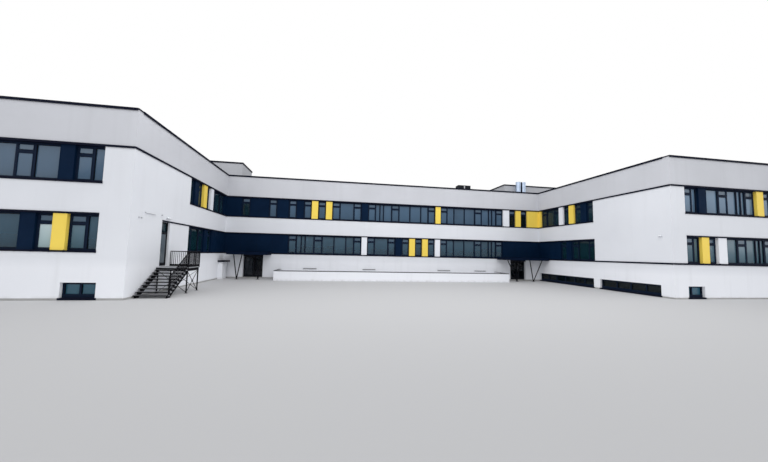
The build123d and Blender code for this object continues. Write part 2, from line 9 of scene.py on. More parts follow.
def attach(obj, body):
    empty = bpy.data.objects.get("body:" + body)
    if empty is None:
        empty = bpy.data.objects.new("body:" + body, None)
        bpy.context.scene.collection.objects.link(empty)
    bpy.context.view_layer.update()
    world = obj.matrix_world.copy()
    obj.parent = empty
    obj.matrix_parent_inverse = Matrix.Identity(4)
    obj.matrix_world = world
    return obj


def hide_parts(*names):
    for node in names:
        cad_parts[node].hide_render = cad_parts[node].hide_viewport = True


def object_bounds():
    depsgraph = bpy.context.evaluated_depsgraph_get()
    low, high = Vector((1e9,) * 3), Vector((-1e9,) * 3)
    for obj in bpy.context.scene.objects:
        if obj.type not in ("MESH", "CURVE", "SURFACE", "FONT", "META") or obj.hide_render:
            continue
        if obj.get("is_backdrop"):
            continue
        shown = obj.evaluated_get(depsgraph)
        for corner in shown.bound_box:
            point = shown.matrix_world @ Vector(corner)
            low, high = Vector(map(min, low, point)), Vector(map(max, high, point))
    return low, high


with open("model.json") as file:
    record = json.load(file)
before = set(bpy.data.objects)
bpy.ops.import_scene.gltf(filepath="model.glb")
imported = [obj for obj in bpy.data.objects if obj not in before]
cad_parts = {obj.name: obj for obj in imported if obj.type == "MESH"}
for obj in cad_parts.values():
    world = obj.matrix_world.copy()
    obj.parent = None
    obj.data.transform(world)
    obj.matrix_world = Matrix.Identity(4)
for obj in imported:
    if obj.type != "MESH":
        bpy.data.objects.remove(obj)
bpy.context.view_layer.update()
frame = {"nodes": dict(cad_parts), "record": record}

# A school at half its real size, in metres: X runs along the front, Y to the back and Z up from the ground.
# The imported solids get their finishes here, and sashes, panes, sheet trim, fittings and roofing are added.
scene = bpy.context.scene
scene.view_settings.view_transform = "Standard"

# The building: places in plan, the walls' thickness and the heights
FRONT_Y, COURT_Y, BACK_Y = -7.300, -0.200, 7.300
HALF_COURT, HALF_WIDTH, WALL = 8.500, 16.500, 0.200
COURT_WIDTH, WING_WIDTH = 2 * HALF_COURT, HALF_WIDTH - HALF_COURT
PROJECTION, DEPTH = COURT_Y - FRONT_Y, BACK_Y - FRONT_Y
GROUND_FLOOR, ROOF, MASONRY_TOP, PARAPET_TOP = 0.800, 4.400, 5.055, 5.085

# The rows of windows: foot and head of each, then frames, string courses and panels
BASEMENT, GROUND, FIRST = (0.050, 0.440), (1.245, 2.185), (3.045, 3.985)
REVEAL, BAR, BAR_DEPTH = 0.090, 0.045, 0.035
TRANSOM_FOOT, TRANSOM_HEAD = 0.270, 0.212
STRING_HEIGHT, STRING_OUT = 0.045, 0.020
NAVY_RECESS, PANEL_SET = 0.030, 0.060

# Sheet metal, the arrises of small pieces, a handrail's radius, and the sides of round bars and bolt heads
HAIR, ARRIS, SOFT_ARRIS, THIN_SHEET, SHEET, PLATE = 0.001, 0.001, 0.002, 0.002, 0.003, 0.004
HANDRAIL, BAR_SIDES, HEXAGON = 0.012, 16, 6

# Each letter is a piece of a row with its usual width: lights, panels, then plain wall and a doorway
LIGHTS = "tknsmwbe"
NAVY, YELLOW, WHITE = "NEFGSRHhI", "YyCZ", "WV"
WIDTHS = {
    "t": 0.410, "k": 0.410, "n": 0.240, "s": 0.195, "m": 0.440, "w": 0.610, "b": 0.725, "e": 0.310,
    "N": 0.335, "Y": 0.310, "y": 0.280, "W": 0.280, "V": 0.365, "E": 0.685, "F": 0.880, "G": 0.555,
    "S": 2.970, "R": 2.230, "H": 1.580, "h": 1.700, "I": 0.270, "C": 0.200, "Z": 0.715,
    "M": 0.715, "i": 0.590, "P": 2.150, "B": 3.270, "A": 1.515, "p": 1.300, "D": 0.455,
    "q": 0.080, "Q": 0.330, "r": 0.450, "J": 0.660, "j": 0.560, "T": 5.300, "K": 3.250, "L": 6.540,
}


def spans_of(row, length):
    """Each piece of a row with its left and right edge on the wall, whose length the row fills."""
    share = length / sum(WIDTHS[letter] for letter in row) if row else 0
    spans, left = [], 0.0
    for letter in row:
        spans.append((letter, left, left + WIDTHS[letter] * share))
        left = spans[-1][2]
    return spans


class Wall:
    """A wall face from its left corner: u runs along it, v up and w out of it.

    The coping starts and stops at ends, counted from the two corners, and the inner face at inner.
    """

    def __init__(self, corner, along, length, ends, inner, ground, first, basement):
        across, out = Vector((*along, 0)), Vector((along[1], -along[0], 0))
        self.place = Matrix((
            (across.x, 0, out.x, corner[0]), (across.y, 0, out.y, corner[1]), (0, 1, 0, 0), (0, 0, 0, 1)))
        self.length, self.coping = length, (ends[0], length + ends[1])
        self.inner = (inner[0], length - inner[1])
        self.basement, self.ground, self.first = (spans_of(row, length) for row in (basement, ground, first))
        self.rows = [(*BASEMENT, self.basement), (*GROUND, self.ground), (*FIRST, self.first)]


classroom = "tnsmtwwkt"
side_row = "M" + "wtwP" * 3 + "wtwM"
back_row = "M" + "wtwP" * 8 + "wtwM"
side_basement, back_basement = "KkkLkkK", "K" + "kkL" * 3 + "kkK"
left_front = Wall(
    (-HALF_WIDTH, FRONT_Y), (1, 0), WING_WIDTH, (0, 0), (WALL, WALL),
    "MntNmtVtsmwtwNtYteM", "MtnwmNtmtYtwtwNteM", "JkkTkkJ")
left_inner = Wall(
    (-HALF_COURT, FRONT_Y), (0, 1), PROJECTION, (WALL, 0), (WALL, -WALL),
    "ADptwtNtH", "BtNtYtWtwtI", "")
court = Wall(
    (-HALF_COURT, COURT_Y), (1, 0), COURT_WIDTH, (-WALL, WALL), (-WALL, -WALL),
    "S" + classroom + "WtbtNtYtYtW" + classroom[::-1] + "R",
    "EtFtGtNtYtYtbtN" + classroom + "y" + classroom[::-1] + "VtYtZ", "")
right_inner = Wall(
    (HALF_COURT, COURT_Y), (0, -1), PROJECTION, (0, -WALL), (-WALL, WALL),
    "htNtwtB", "CtwtWtYtNtB", "q" + "w" * 6 + "Qb" + "w" * 3 + "r")
right_front = Wall(
    (HALF_COURT, FRONT_Y), (1, 0), WING_WIDTH, (0, 0), (WALL, WALL),
    "itnYtVwtmsstNtwmtsnM", "itnNwtmsstYtwntNtnmM", "jnmTmnj")
right_outer = Wall(
    (HALF_WIDTH, FRONT_Y), (0, 1), DEPTH, (WALL, -WALL), (WALL, WALL), side_row, side_row, side_basement)
back = Wall(
    (HALF_WIDTH, BACK_Y), (-1, 0), 2 * HALF_WIDTH, (0, 0), (WALL, WALL), back_row, back_row, back_basement)
left_outer = Wall(
    (-HALF_WIDTH, BACK_Y), (0, -1), DEPTH, (WALL, -WALL), (WALL, WALL), side_row, side_row, side_basement)
walls = [left_front, court, right_front, back, left_inner, right_inner, left_outer, right_outer]


# Finishes
def new_finish(name, colour, roughness, metallic=0.0, specular=0.5):
    """A material whose principled shader has these plain values, ready for more."""
    finish = bpy.data.materials.new(name)
    finish.use_nodes = True
    shader = finish.node_tree.nodes["Principled BSDF"]
    shader.inputs["Base Color"].default_value = (*colour, 1)
    shader.inputs["Roughness"].default_value = roughness
    shader.inputs["Metallic"].default_value = metallic
    shader.inputs["Specular IOR Level"].default_value = specular
    return finish


def add_node(finish, kind, wires=None, **settings):
    """A node with its settings, and its inputs wired to sockets or given values."""
    node = finish.node_tree.nodes.new(kind)
    for name, value in settings.items():
        setattr(node, name, value)
    for name, value in (wires or {}).items():
        if isinstance(value, bpy.types.NodeSocket):
            finish.node_tree.links.new(value, node.inputs[name])
        else:
            node.inputs[name].default_value = value
    return node


def object_point(finish, stretch=(1, 1, 1)):
    """Where a point of the object is, with each direction stretched."""
    point = add_node(finish, "ShaderNodeTexCoord").outputs["Object"]
    if stretch == (1, 1, 1):
        return point
    return add_node(finish, "ShaderNodeMapping", {"Vector": point, "Scale": stretch}).outputs["Vector"]


def noise(finish, scale, detail=3.0, stretch=(1, 1, 1)):
    wires = {"Vector": object_point(finish, stretch), "Scale": scale, "Detail": detail}
    return add_node(finish, "ShaderNodeTexNoise", wires).outputs["Fac"]


def level(finish, value, low, high, to_low=0.0, to_high=1.0):
    """A value carried from one range to another and held between its ends."""
    wires = {"Value": value, "From Min": low, "From Max": high, "To Min": to_low, "To Max": to_high}
    return add_node(finish, "ShaderNodeMapRange", wires).outputs["Result"]


def times(finish, one, other):
    node = add_node(finish, "ShaderNodeMath", {0: one, 1: other}, operation="MULTIPLY")
    return node.outputs["Value"]


def blend(finish, share, one, other):
    """One colour over another: share 0 gives the first."""
    node = add_node(finish, "ShaderNodeMix", data_type="RGBA")
    for socket, value in ((node.inputs[0], share), (node.inputs[6], one), (node.inputs[7], other)):
        if isinstance(value, bpy.types.NodeSocket):
            finish.node_tree.links.new(value, socket)
        else:
            socket.default_value = (*value, 1) if isinstance(value, tuple) else value
    return node.outputs[2]


def wire(finish, name, socket):
    """A socket wired to this input of the finish's own shader."""
    finish.node_tree.links.new(socket, finish.node_tree.nodes["Principled BSDF"].inputs[name])


def roughen(finish, height, strength, distance):
    """A bump whose full height is this distance in metres."""
    wires = {"Height": height, "Strength": strength, "Distance": distance}
    wire(finish, "Normal", add_node(finish, "ShaderNodeBump", wires).outputs["Normal"])


def height_above_ground(finish):
    split = add_node(finish, "ShaderNodeSeparateXYZ", {"Vector": object_point(finish)})
    return split.outputs["Z"]


PALER_FOOT_TONE, FOOT_DARK_TONE = (0.80, 0.81, 0.85), (0.33, 0.32, 0.30)
PALER_FOOT_FADES, FOOT_DARK_TOP = (0.80, 1.05), 0.12
RAIN_STREAKS = (3.5, 3.5, 0.22)


def painted_render(name, colour, shade, streak):
    """Smooth painted render: cloudy tone, paler towards the foot, faint streaks, a darker mottled band at
    the very foot and a fine grain.
    """
    finish = new_finish(name, colour, 0.85, specular=0.2)
    clouds = level(finish, noise(finish, scale=0.45, detail=4.0), 0.35, 0.7)
    tone = blend(finish, clouds, colour, shade)
    # Paler from about a metre down, then darker and mottled in the lowest 0.12 m.
    paler_foot = level(finish, height_above_ground(finish), *PALER_FOOT_FADES, 0.50, 0.0)
    tone = blend(finish, paler_foot, tone, PALER_FOOT_TONE)
    runs = level(finish, noise(finish, scale=1.0, detail=5.0, stretch=RAIN_STREAKS), 0.55, 0.8, 0.0, 0.35)
    tone = blend(finish, runs, tone, streak)
    dark_foot = level(finish, height_above_ground(finish), 0.0, FOOT_DARK_TOP, 0.45, 0.0)
    dark_foot = times(finish, dark_foot, level(finish, noise(finish, scale=6.0, detail=5.0), 0.3, 0.7))
    wire(finish, "Base Color", blend(finish, dark_foot, tone, FOOT_DARK_TONE))
    wire(finish, "Roughness", level(finish, noise(finish, scale=30.0, detail=2.0), 0.3, 0.7, 0.78, 0.92))
    roughen(finish, noise(finish, scale=170.0, detail=4.0), 0.25, 0.002)
    return finish


def painted_sheet(name, colour, worn, roughness, specular=0.1):
    """Painted sheet metal: a little uneven in tone and gloss, with a faint ripple."""
    finish = new_finish(name, colour, roughness, specular=specular)
    wear = level(finish, noise(finish, scale=1.3, detail=4.0), 0.35, 0.75)
    wire(finish, "Base Color", blend(finish, wear, colour, worn))
    gloss = level(finish, noise(finish, scale=4.0), 0.3, 0.7, roughness - 0.06, roughness + 0.08)
    wire(finish, "Roughness", gloss)
    roughen(finish, noise(finish, scale=2.2, detail=1.0), 0.12, 0.004)
    return finish


def bare_metal(name, colour, dull, roughness, metallic=0.75):
    """Galvanised or bright sheet steel with a mottled face."""
    finish = new_finish(name, colour, roughness, metallic=metallic)
    cells = add_node(finish, "ShaderNodeTexVoronoi", {"Vector": object_point(finish), "Scale": 28.0})
    mottle = level(finish, cells.outputs["Distance"], 0.1, 0.7)
    wire(finish, "Base Color", blend(finish, mottle, colour, dull))
    gloss = level(finish, noise(finish, scale=9.0), 0.3, 0.7, roughness - 0.08, roughness + 0.1)
    wire(finish, "Roughness", gloss)
    return finish


def pane_glass(name, foot_colour, head_colour, heights, clear, specular=0.5):
    """Tinted glazing whose tone changes between two heights as a painted reflection, and a little darker in
    some panes.
    """
    finish = new_finish(name, head_colour, 0.06, specular=specular)
    painted_reflection_rise = level(finish, height_above_ground(finish), *heights)
    tone = blend(finish, painted_reflection_rise, foot_colour, head_colour)
    island = add_node(finish, "ShaderNodeNewGeometry").outputs["Random Per Island"]
    haze = times(finish, island, level(finish, noise(finish, scale=0.8, detail=2.0), 0.3, 0.7, 0.1, 0.5))
    deep = tuple(part * 0.45 for part in foot_colour)
    wire(finish, "Base Color", blend(finish, haze, tone, deep))
    finish.node_tree.nodes["Principled BSDF"].inputs["Alpha"].default_value = 1 - clear
    roughen(finish, noise(finish, scale=1.6, detail=1.0), 0.03, 0.004)
    return finish


def stone_finish(name, colour, shade):
    """Concrete, coping stone or felt: a cloudy tone over a coarse grain."""
    finish = new_finish(name, colour, 0.9, specular=0.2)
    clouds = level(finish, noise(finish, scale=2.0, detail=6.0), 0.35, 0.7)
    wire(finish, "Base Color", blend(finish, clouds, colour, shade))
    roughen(finish, noise(finish, scale=60.0, detail=4.0), 0.3, 0.003)
    return finish


wall_white = painted_render(
    "wall_render_paint", (0.675, 0.69, 0.73), (0.635, 0.65, 0.69), (0.59, 0.60, 0.63))
# The parapets' render is the wall's white painted darker, as painted shade.
parapet_shaded_white = painted_render(
    "parapet_render_painted_shade", (0.545, 0.553, 0.590), (0.495, 0.503, 0.535), (0.45, 0.457, 0.485))
trim_paint = painted_sheet("dark_trim_paint", (0.003, 0.004, 0.013), (0.006, 0.008, 0.019), 0.60, 0.05)
navy_paint = painted_sheet("navy_cladding_paint", (0.0012, 0.0088, 0.028), (0.002, 0.012, 0.036), 0.58, 0.05)
yellow_paint = painted_sheet("yellow_cladding_paint", (0.82, 0.61, 0.10), (0.77, 0.56, 0.085), 0.45, 0.25)
white_paint = painted_sheet("white_cladding_paint", (0.74, 0.76, 0.81), (0.70, 0.72, 0.77), 0.45, 0.3)
frame_paint = painted_sheet("window_frame_paint", (0.004, 0.010, 0.026), (0.007, 0.014, 0.033), 0.50, 0.06)
door_paint = painted_sheet("door_section_paint", (0.004, 0.005, 0.009), (0.007, 0.008, 0.013), 0.42)
stair_paint = painted_sheet("stair_steel_paint", (0.003, 0.003, 0.0045), (0.006, 0.006, 0.008), 0.60, 0.05)
canopy_paint = painted_sheet(
    "canopy_sheet_paint", (0.0012, 0.005, 0.018), (0.002, 0.008, 0.025), 0.58, 0.05)
unit_paint = painted_sheet("air_unit_casing", (0.010, 0.012, 0.016), (0.018, 0.020, 0.025), 0.55, 0.1)
deck_steel = bare_metal("galvanised_steel", (0.46, 0.47, 0.49), (0.34, 0.35, 0.37), 0.45)
duct_steel = bare_metal("bright_duct_steel", (0.58, 0.68, 0.84), (0.50, 0.60, 0.76), 0.40, 0.55)
slab_concrete = stone_finish("smooth_concrete", (0.36, 0.36, 0.355), (0.28, 0.28, 0.275))
coping_stone = stone_finish("grey_coping_stone", (0.115, 0.118, 0.125), (0.085, 0.087, 0.092))
roof_felt = stone_finish("roofing_felt", (0.13, 0.135, 0.14), (0.09, 0.095, 0.10))
black_rubber = new_finish("black_gasket", (0.005, 0.005, 0.006), 0.7, specular=0.1)
lamp_glass = new_finish("lamp_diffuser", (0.82, 0.84, 0.87), 0.4)
lamp_case = new_finish("lamp_casing", (0.50, 0.51, 0.54), 0.5)
bolt_steel = new_finish("zinc_bolts", (0.22, 0.225, 0.23), 0.45, metallic=0.7)

basement_heights, door_heights, side_door_heights = (0.1, 0.4), (0.1, 1.0), (0.9, 1.8)
inner_heights, transom_heights = (1.3, 3.9), (1.9, 3.9)
ground_heights, first_heights = ((row[0] + 0.05, row[1] - 0.15) for row in (GROUND, FIRST))
# Each glazing's colours are a painted reflection of what its panes face: paler in the transoms and on the
# right front, a painted sky in the bright kind and darker in the shaded ones.
pane_tones = {
    "basement": ("basement_glazing", (0.016, 0.088, 0.140), (0.028, 0.120, 0.185), basement_heights, 0.10),
    "cellar": (
        "shaded_basement_glazing", (0.002, 0.005, 0.007), (0.004, 0.009, 0.012), basement_heights,
        0.10, 0.15),
    "ground": ("ground_floor_glazing", (0.016, 0.050, 0.080), (0.044, 0.096, 0.145), ground_heights, 0.12),
    "first": ("first_floor_glazing", (0.044, 0.094, 0.160), (0.062, 0.118, 0.190), first_heights, 0.10),
    "transom": ("transom_glazing", (0.070, 0.120, 0.180), (0.088, 0.140, 0.205), transom_heights, 0.10),
    "pale": ("paler_first_floor_glazing", (0.095, 0.180, 0.285), (0.140, 0.225, 0.330), first_heights, 0.10),
    "light": (
        "paler_ground_floor_glazing", (0.036, 0.098, 0.140), (0.128, 0.208, 0.265), ground_heights, 0.12),
    "teal": ("inner_wall_glazing", (0.004, 0.022, 0.031), (0.012, 0.034, 0.048), inner_heights, 0.12, 0.25),
    "bright": ("sky_lit_glazing", (0.36, 0.50, 0.53), (0.60, 0.71, 0.74), ground_heights, 0.05),
}
pane_finishes = {kind: pane_glass(*tones) for kind, tones in pane_tones.items()}
# The doors' glazing has a painted reflection too, changing between two heights.
door_glass = pane_glass(
    "door_glazing", (0.003, 0.005, 0.009), (0.006, 0.010, 0.016), door_heights, 0.30, 0.3)
hall_glass = pane_glass(
    "hall_door_glazing", (0.012, 0.017, 0.025), (0.020, 0.028, 0.038), door_heights, 0.25, 0.3)
side_door_glass = pane_glass(
    "side_door_glazing", (0.095, 0.118, 0.140), (0.115, 0.140, 0.165), side_door_heights, 0.05)

finish_of_slot = {
    "wall_render": wall_white, "parapet_render": parapet_shaded_white, "concrete": slab_concrete,
    "dark_trim": trim_paint, "navy_cladding": navy_paint, "yellow_cladding": yellow_paint,
    "white_cladding": white_paint, "window_frame": frame_paint, "window_glass": pane_finishes["teal"],
    "door_glass": door_glass, "door_metal": door_paint, "stair_steel": stair_paint,
    "deck_grating": deck_steel, "canopy_metal": canopy_paint, "grey_coping": coping_stone,
    "duct_metal": duct_steel, "unit_metal": unit_paint,
}
own_finishes = {"side_door_leaf_glass": side_door_glass, "left_entrance_left_leaf_glass": hall_glass}
for part in frame["record"]["subparts"]:
    for material_slot in frame["nodes"][part["node"]].material_slots:
        material_slot.material = own_finishes.get(part["node"], finish_of_slot[part["material_slot"]])


# Edges and points of pieces
def widened(edges, by):
    """Both edges moved outwards, or inwards where the size is below zero."""
    return edges[0] - by, edges[1] + by


def around(middle, reach):
    """The edges of what reaches this far to both sides of its middle."""
    return middle - reach, middle + reach


def onward(start, size):
    """The edges of what starts here and is this big."""
    return start, start + size


def shares(edges, usual):
    """The places that divide a length into equal parts of about the usual size."""
    count = round((edges[1] - edges[0]) / usual)
    return [edges[0] + (edges[1] - edges[0]) * step / count for step in range(1, count)]


def on_wall(place, *points):
    """Points of a wall, given along, up and out, as points of the building."""
    return [place @ Vector(point) for point in points]


def clear_lights(spans):
    """Each light's number and letter with the edges of its clear opening between the frame's bars."""
    found = []
    for number, (letter, left, right) in enumerate(spans):
        if letter in LIGHTS:
            before = number > 0 and spans[number - 1][0] in LIGHTS
            after = number + 1 < len(spans) and spans[number + 1][0] in LIGHTS
            clear = left + (BAR / 2 if before else BAR), right - (BAR / 2 if after else BAR)
            found.append((number, letter, clear))
    return found


def runs_of(spans, letters):
    """The outer edges of each run of neighbouring pieces with these letters."""
    runs = []
    for letter, left, right in spans:
        if letter in letters and runs and runs[-1][1] == left:
            runs[-1][1] = right
        elif letter in letters:
            runs.append([left, right])
    return runs


# Shapes
def take_off(bm, edges, size, segments=1):
    """The arrises of these edges taken off."""
    bmesh.ops.bevel(
        bm, geom=edges, offset=size, segments=segments, profile=0.5, affect="EDGES", material=-1)


def add_block(bm, place, u, v, w, arris=0.0):
    """A block with its three pairs of edges in the wall's own directions."""
    size = [pair[1] - pair[0] for pair in (u, v, w)]
    centre = Vector([(pair[0] + pair[1]) / 2 for pair in (u, v, w)])
    matrix = place @ Matrix.Translation(centre) @ Matrix.Diagonal((*size, 1))
    made = bmesh.ops.create_cube(bm, size=1, matrix=matrix)
    if arris:
        take_off(bm, list({edge for vert in made["verts"] for edge in vert.link_edges}), arris)


def add_ring(bm, place, u, v, w, bar, arris=0.0):
    """A four-sided frame with its bars inside these edges."""
    centre = Vector(((u[0] + u[1]) / 2, (v[0] + v[1]) / 2, w[0]))
    matrix = place @ Matrix.Translation(centre) @ Matrix.Diagonal((u[1] - u[0], v[1] - v[0], 1, 1))
    made = bmesh.ops.create_grid(bm, x_segments=1, y_segments=1, size=0.5, matrix=matrix)
    middle = made["verts"][0].link_faces[0]
    inset = bmesh.ops.inset_region(
        bm, faces=[middle], thickness=bar, use_boundary=True, use_even_offset=True)
    bmesh.ops.delete(bm, geom=[middle], context="FACES")
    grown = bmesh.ops.extrude_face_region(bm, geom=inset["faces"], use_keep_orig=True)["geom"]
    front = [part for part in grown if isinstance(part, bmesh.types.BMVert)]
    bmesh.ops.translate(bm, vec=place.to_3x3() @ Vector((0, 0, w[1] - w[0])), verts=front)
    if arris:
        shown = set(front)
        edges = list({e for vert in front for e in vert.link_edges if set(e.verts) <= shown})
        take_off(bm, [e for e in edges if len(e.link_faces) == 2 and e.calc_face_angle(0) > 0.5], arris)


def add_rod(bm, start, end, radius, segments=BAR_SIDES, arris=0.0):
    """A round bar between two points."""
    start, end = Vector(start), Vector(end)
    turn = (end - start).to_track_quat("Z", "Y").to_matrix().to_4x4()
    made = bmesh.ops.create_cone(
        bm, cap_ends=True, segments=segments, radius1=radius, radius2=radius,
        depth=(end - start).length, matrix=Matrix.Translation((start + end) / 2) @ turn)
    if arris:
        rims = {e for vert in made["verts"] for e in vert.link_edges if e.calc_face_angle(0) > 1}
        take_off(bm, list(rims), arris, segments=2)


def add_upright(bm, place, along, heights, out, radius, segments=BAR_SIDES, arris=0.0):
    """A round bar that stands up between two heights of a wall."""
    add_rod(bm, *on_wall(place, *((along, height, out) for height in heights)), radius, segments, arris)


def add_pin(bm, place, along, height, outs, radius, segments=BAR_SIDES, arris=0.0):
    """A round bar that points straight out of a wall."""
    add_rod(bm, *on_wall(place, *((along, height, out) for out in outs)), radius, segments, arris)


def add_rail(bm, turns):
    """A handrail's round bar from point to point."""
    for start, end in zip(turns, turns[1:]):
        add_rod(bm, start, end, HANDRAIL)


def keep_piece(bm, name, slot, finish=None, body="building"):
    """The finished mesh as a piece that rides on its body, in its slot's finish unless another is named."""
    bmesh.ops.recalc_face_normals(bm, faces=bm.faces[:])
    mesh = bpy.data.meshes.new(name)
    bm.to_mesh(mesh)
    bm.free()
    piece = bpy.data.objects.new(name, mesh)
    scene.collection.objects.link(piece)
    mesh.materials.append(finish or finish_of_slot[slot])
    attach(piece, body)
    return piece


def keep_all(slot, finish=None, **meshes):
    """Several finished meshes of one slot, each under its own name."""
    for name, bm in meshes.items():
        keep_piece(bm, name, slot, finish)


# Windows: lights with a transom have two sashes, the others a beaded pane
FRAME_BACK = -REVEAL - BAR_DEPTH
SASH_BAR, SASH_PROUD, SASH_SET, SASH_ARRIS, SASH_PLAY = 0.018, 0.007, 0.004, 0.003, 0.002
SASH_PANE, GLASS_EDGE = (-0.112, -0.102), 0.012
BEAD, BEAD_FRONT, PANE = 0.008, -0.108, 0.012
last = len(court.first) - 1
# Single lights with a painted reflection of their own, a painted sky in the bright one.
odd_panes = {
    (left_front, "ground", 14): "bright", (left_front, "ground", 16): "light", (court, "first", 1): "teal",
    (court, "first", last - 3): "cellar", (court, "first", last - 1): "cellar",
}


def pane_kind(wall, row):
    """Which glazing a row of windows has: its painted reflection takes its tone from what the wall looks out
    on.
    """
    if wall in (left_inner, right_inner):
        return "cellar" if row == "basement" else "teal"
    if wall is right_front:
        return {"first": "pale", "ground": "light"}.get(row, row)
    return row


transoms, sashes, beads = (bmesh.new() for _ in range(3))
panes = {kind: bmesh.new() for kind in pane_finishes}
for wall in walls:
    for row, (bottom, top, spans) in zip(("basement", "ground", "first"), wall.rows):
        kind = pane_kind(wall, row)
        for number, letter, light in clear_lights(spans):
            sill, head = bottom + BAR, top - BAR
            if letter == "t":
                bar_foot, bar_head = top - TRANSOM_FOOT, top - TRANSOM_HEAD
                add_block(transoms, wall.place, light, (bar_foot, bar_head), (FRAME_BACK, -REVEAL))
                upper_kind = kind if kind == "teal" else "transom"
                lower_kind = odd_panes.get((wall, row, number), kind)
                for v, chosen in (((sill, bar_foot), lower_kind), ((bar_head, head), upper_kind)):
                    u, v = widened(light, -SASH_PLAY), widened(v, -SASH_PLAY)
                    w = (FRAME_BACK + SASH_SET, SASH_PROUD - REVEAL)
                    add_ring(sashes, wall.place, u, v, w, SASH_BAR, SASH_ARRIS)
                    u, v = widened(u, -GLASS_EDGE), widened(v, -GLASS_EDGE)
                    add_block(panes[chosen], wall.place, u, v, SASH_PANE)
            else:
                add_ring(beads, wall.place, light, (sill, head), (FRAME_BACK, BEAD_FRONT), BEAD)
                u, v = widened(light, BEAD), widened((sill, head), BEAD)
                add_block(panes[kind], wall.place, u, v, (FRAME_BACK - PANE, FRAME_BACK))
keep_all("window_frame", window_transoms=transoms, window_sashes=sashes)
keep_piece(beads, "glazing_beads", "window_frame", black_rubber)
pane_pieces = {
    kind: keep_piece(panes[kind], f"{kind}_panes", "window_glass", pane_finishes[kind]) for kind in panes}
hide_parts("basement_window_glass")
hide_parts("ground_floor_window_glass")
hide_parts("first_floor_window_glass")

# Basement windows stand on a deep bottom bar and a dark sill that runs a little past them
BOTTOM_BAR, BOTTOM_BAR_BACK = 0.092, 0.020
FOOT_SILL, FOOT_SILL_OUT, FOOT_SILL_PAST = 0.006, 0.012, 0.030
bottom_bars, foot_sills = bmesh.new(), bmesh.new()
for wall in walls:
    for u in runs_of(wall.basement, LIGHTS):
        bottom = BASEMENT[0]
        w = (-REVEAL - BOTTOM_BAR_BACK, -REVEAL + PLATE)
        add_block(bottom_bars, wall.place, u, onward(bottom, BOTTOM_BAR), w, SOFT_ARRIS)
        add_block(foot_sills, wall.place, u, (bottom - THIN_SHEET, bottom + FOOT_SILL), (-REVEAL, 0.0))
        v = (PLATE, bottom + FOOT_SILL)
        add_block(foot_sills, wall.place, widened(u, FOOT_SILL_PAST), v, (0.0, FOOT_SILL_OUT), SOFT_ARRIS)
keep_piece(bottom_bars, "basement_bottom_bars", "window_frame")
keep_piece(foot_sills, "basement_sills", "dark_trim")

# Panels: a folded rim on the face, sheet over the sides of the pier behind, and joints in wide ones
RIM, SHEET_WIDTH, HALF_JOINT = 0.012, 0.750, 0.004
panel_letters = {"navy": NAVY, "yellow": YELLOW, "white": WHITE}


def into_corners(wall, left, right, recess):
    """A panel's edges, drawn on where two panels meet in a corner of the court."""
    past = PANEL_SET if wall is court else recess
    at_start = left == 0 and wall in (court, right_inner)
    at_end = right > wall.length - HAIR and wall in (court, left_inner)
    return left - at_start * past, right + at_end * past


rims = {colour: bmesh.new() for colour in panel_letters}
joints = bmesh.new()
for wall in walls:
    for bottom, top, spans in wall.rows:
        for number, (letter, left, right) in enumerate(spans):
            colour = next((name for name, letters in panel_letters.items() if letter in letters), None)
            if not colour:
                continue
            recess = NAVY_RECESS if colour == "navy" else 0.0
            u, back_edge = into_corners(wall, left, right, recess), -recess - THIN_SHEET
            add_ring(rims[colour], wall.place, u, (bottom, top), (back_edge, SHEET - recess), RIM)
            for edge, side, beside in ((left, -1, number - 1), (right, 1, number + 1)):
                if 0 <= beside < len(spans) and spans[beside][0] in LIGHTS:
                    cheek = sorted((edge, edge + side * THIN_SHEET))
                    add_block(rims[colour], wall.place, cheek, (bottom, top), (-REVEAL, SHEET - recess))
            for middle in shares((left, right), SHEET_WIDTH):
                w = (back_edge, THIN_SHEET - recess)
                add_block(joints, wall.place, around(middle, HALF_JOINT), (bottom, top), w, ARRIS)
for colour in panel_letters:
    keep_piece(rims[colour], f"{colour}_panel_rims", f"{colour}_cladding")
keep_piece(joints, "panel_joints", "dark_trim")

# Sills: a turned-down lip and a lined head along each row, and a nib at both ends of its lights
LIP_FOOT, LIP_OUT = 0.010, 0.006
NIB_BACK, NIB_LENGTH, NIB_RISE, NIB_OUT = 0.004, 0.014, 0.014, 0.008
row_letters = LIGHTS + NAVY + YELLOW + WHITE
lips, nibs, linings = (bmesh.new() for _ in range(3))
for wall in walls:
    for bottom, top, spans in wall.rows[1:]:
        for u in runs_of(spans, row_letters):
            v = (bottom - LIP_FOOT, bottom + PLATE)
            add_block(lips, wall.place, u, v, onward(STRING_OUT, LIP_OUT))
            add_block(linings, wall.place, u, (top - PLATE, top), (-REVEAL, PLATE))
        for left, right in runs_of(spans, LIGHTS):
            add_block(linings, wall.place, (left, right), onward(bottom, SHEET), (-REVEAL, STRING_OUT))
            for edge, inward in ((left, 1), (right, -1)):
                if HAIR < edge < wall.length - HAIR:
                    u = sorted((edge - inward * NIB_BACK, edge + inward * NIB_LENGTH))
                    v = (bottom - STRING_HEIGHT - PLATE, bottom + NIB_RISE)
                    add_block(nibs, wall.place, u, v, (0.0, STRING_OUT + NIB_OUT), SOFT_ARRIS)

# Folded face sheets widen the long string courses over the first floor and under the right wing's rows
HEAD_SHEET, FOOT_SHEET = (0.006, 0.008), (0.012, 0.002)
face_sheets = bmesh.new()
for wall in (left_front, left_inner, court, right_inner, right_front):
    u = widened((0, wall.length), STRING_OUT if wall in (left_front, right_front) else 0)
    v = (FIRST[1] - HEAD_SHEET[0], FIRST[1] + STRING_HEIGHT + HEAD_SHEET[1])
    add_block(face_sheets, wall.place, u, v, onward(STRING_OUT, SHEET))
    if wall in (right_inner, right_front):
        v = (GROUND[0] - STRING_HEIGHT - FOOT_SHEET[0], GROUND[0] + FOOT_SHEET[1])
        add_block(face_sheets, wall.place, u, v, onward(STRING_OUT, SHEET))
keep_all("dark_trim", string_faces=face_sheets, sill_lips=lips, sill_end_nibs=nibs, head_linings=linings)

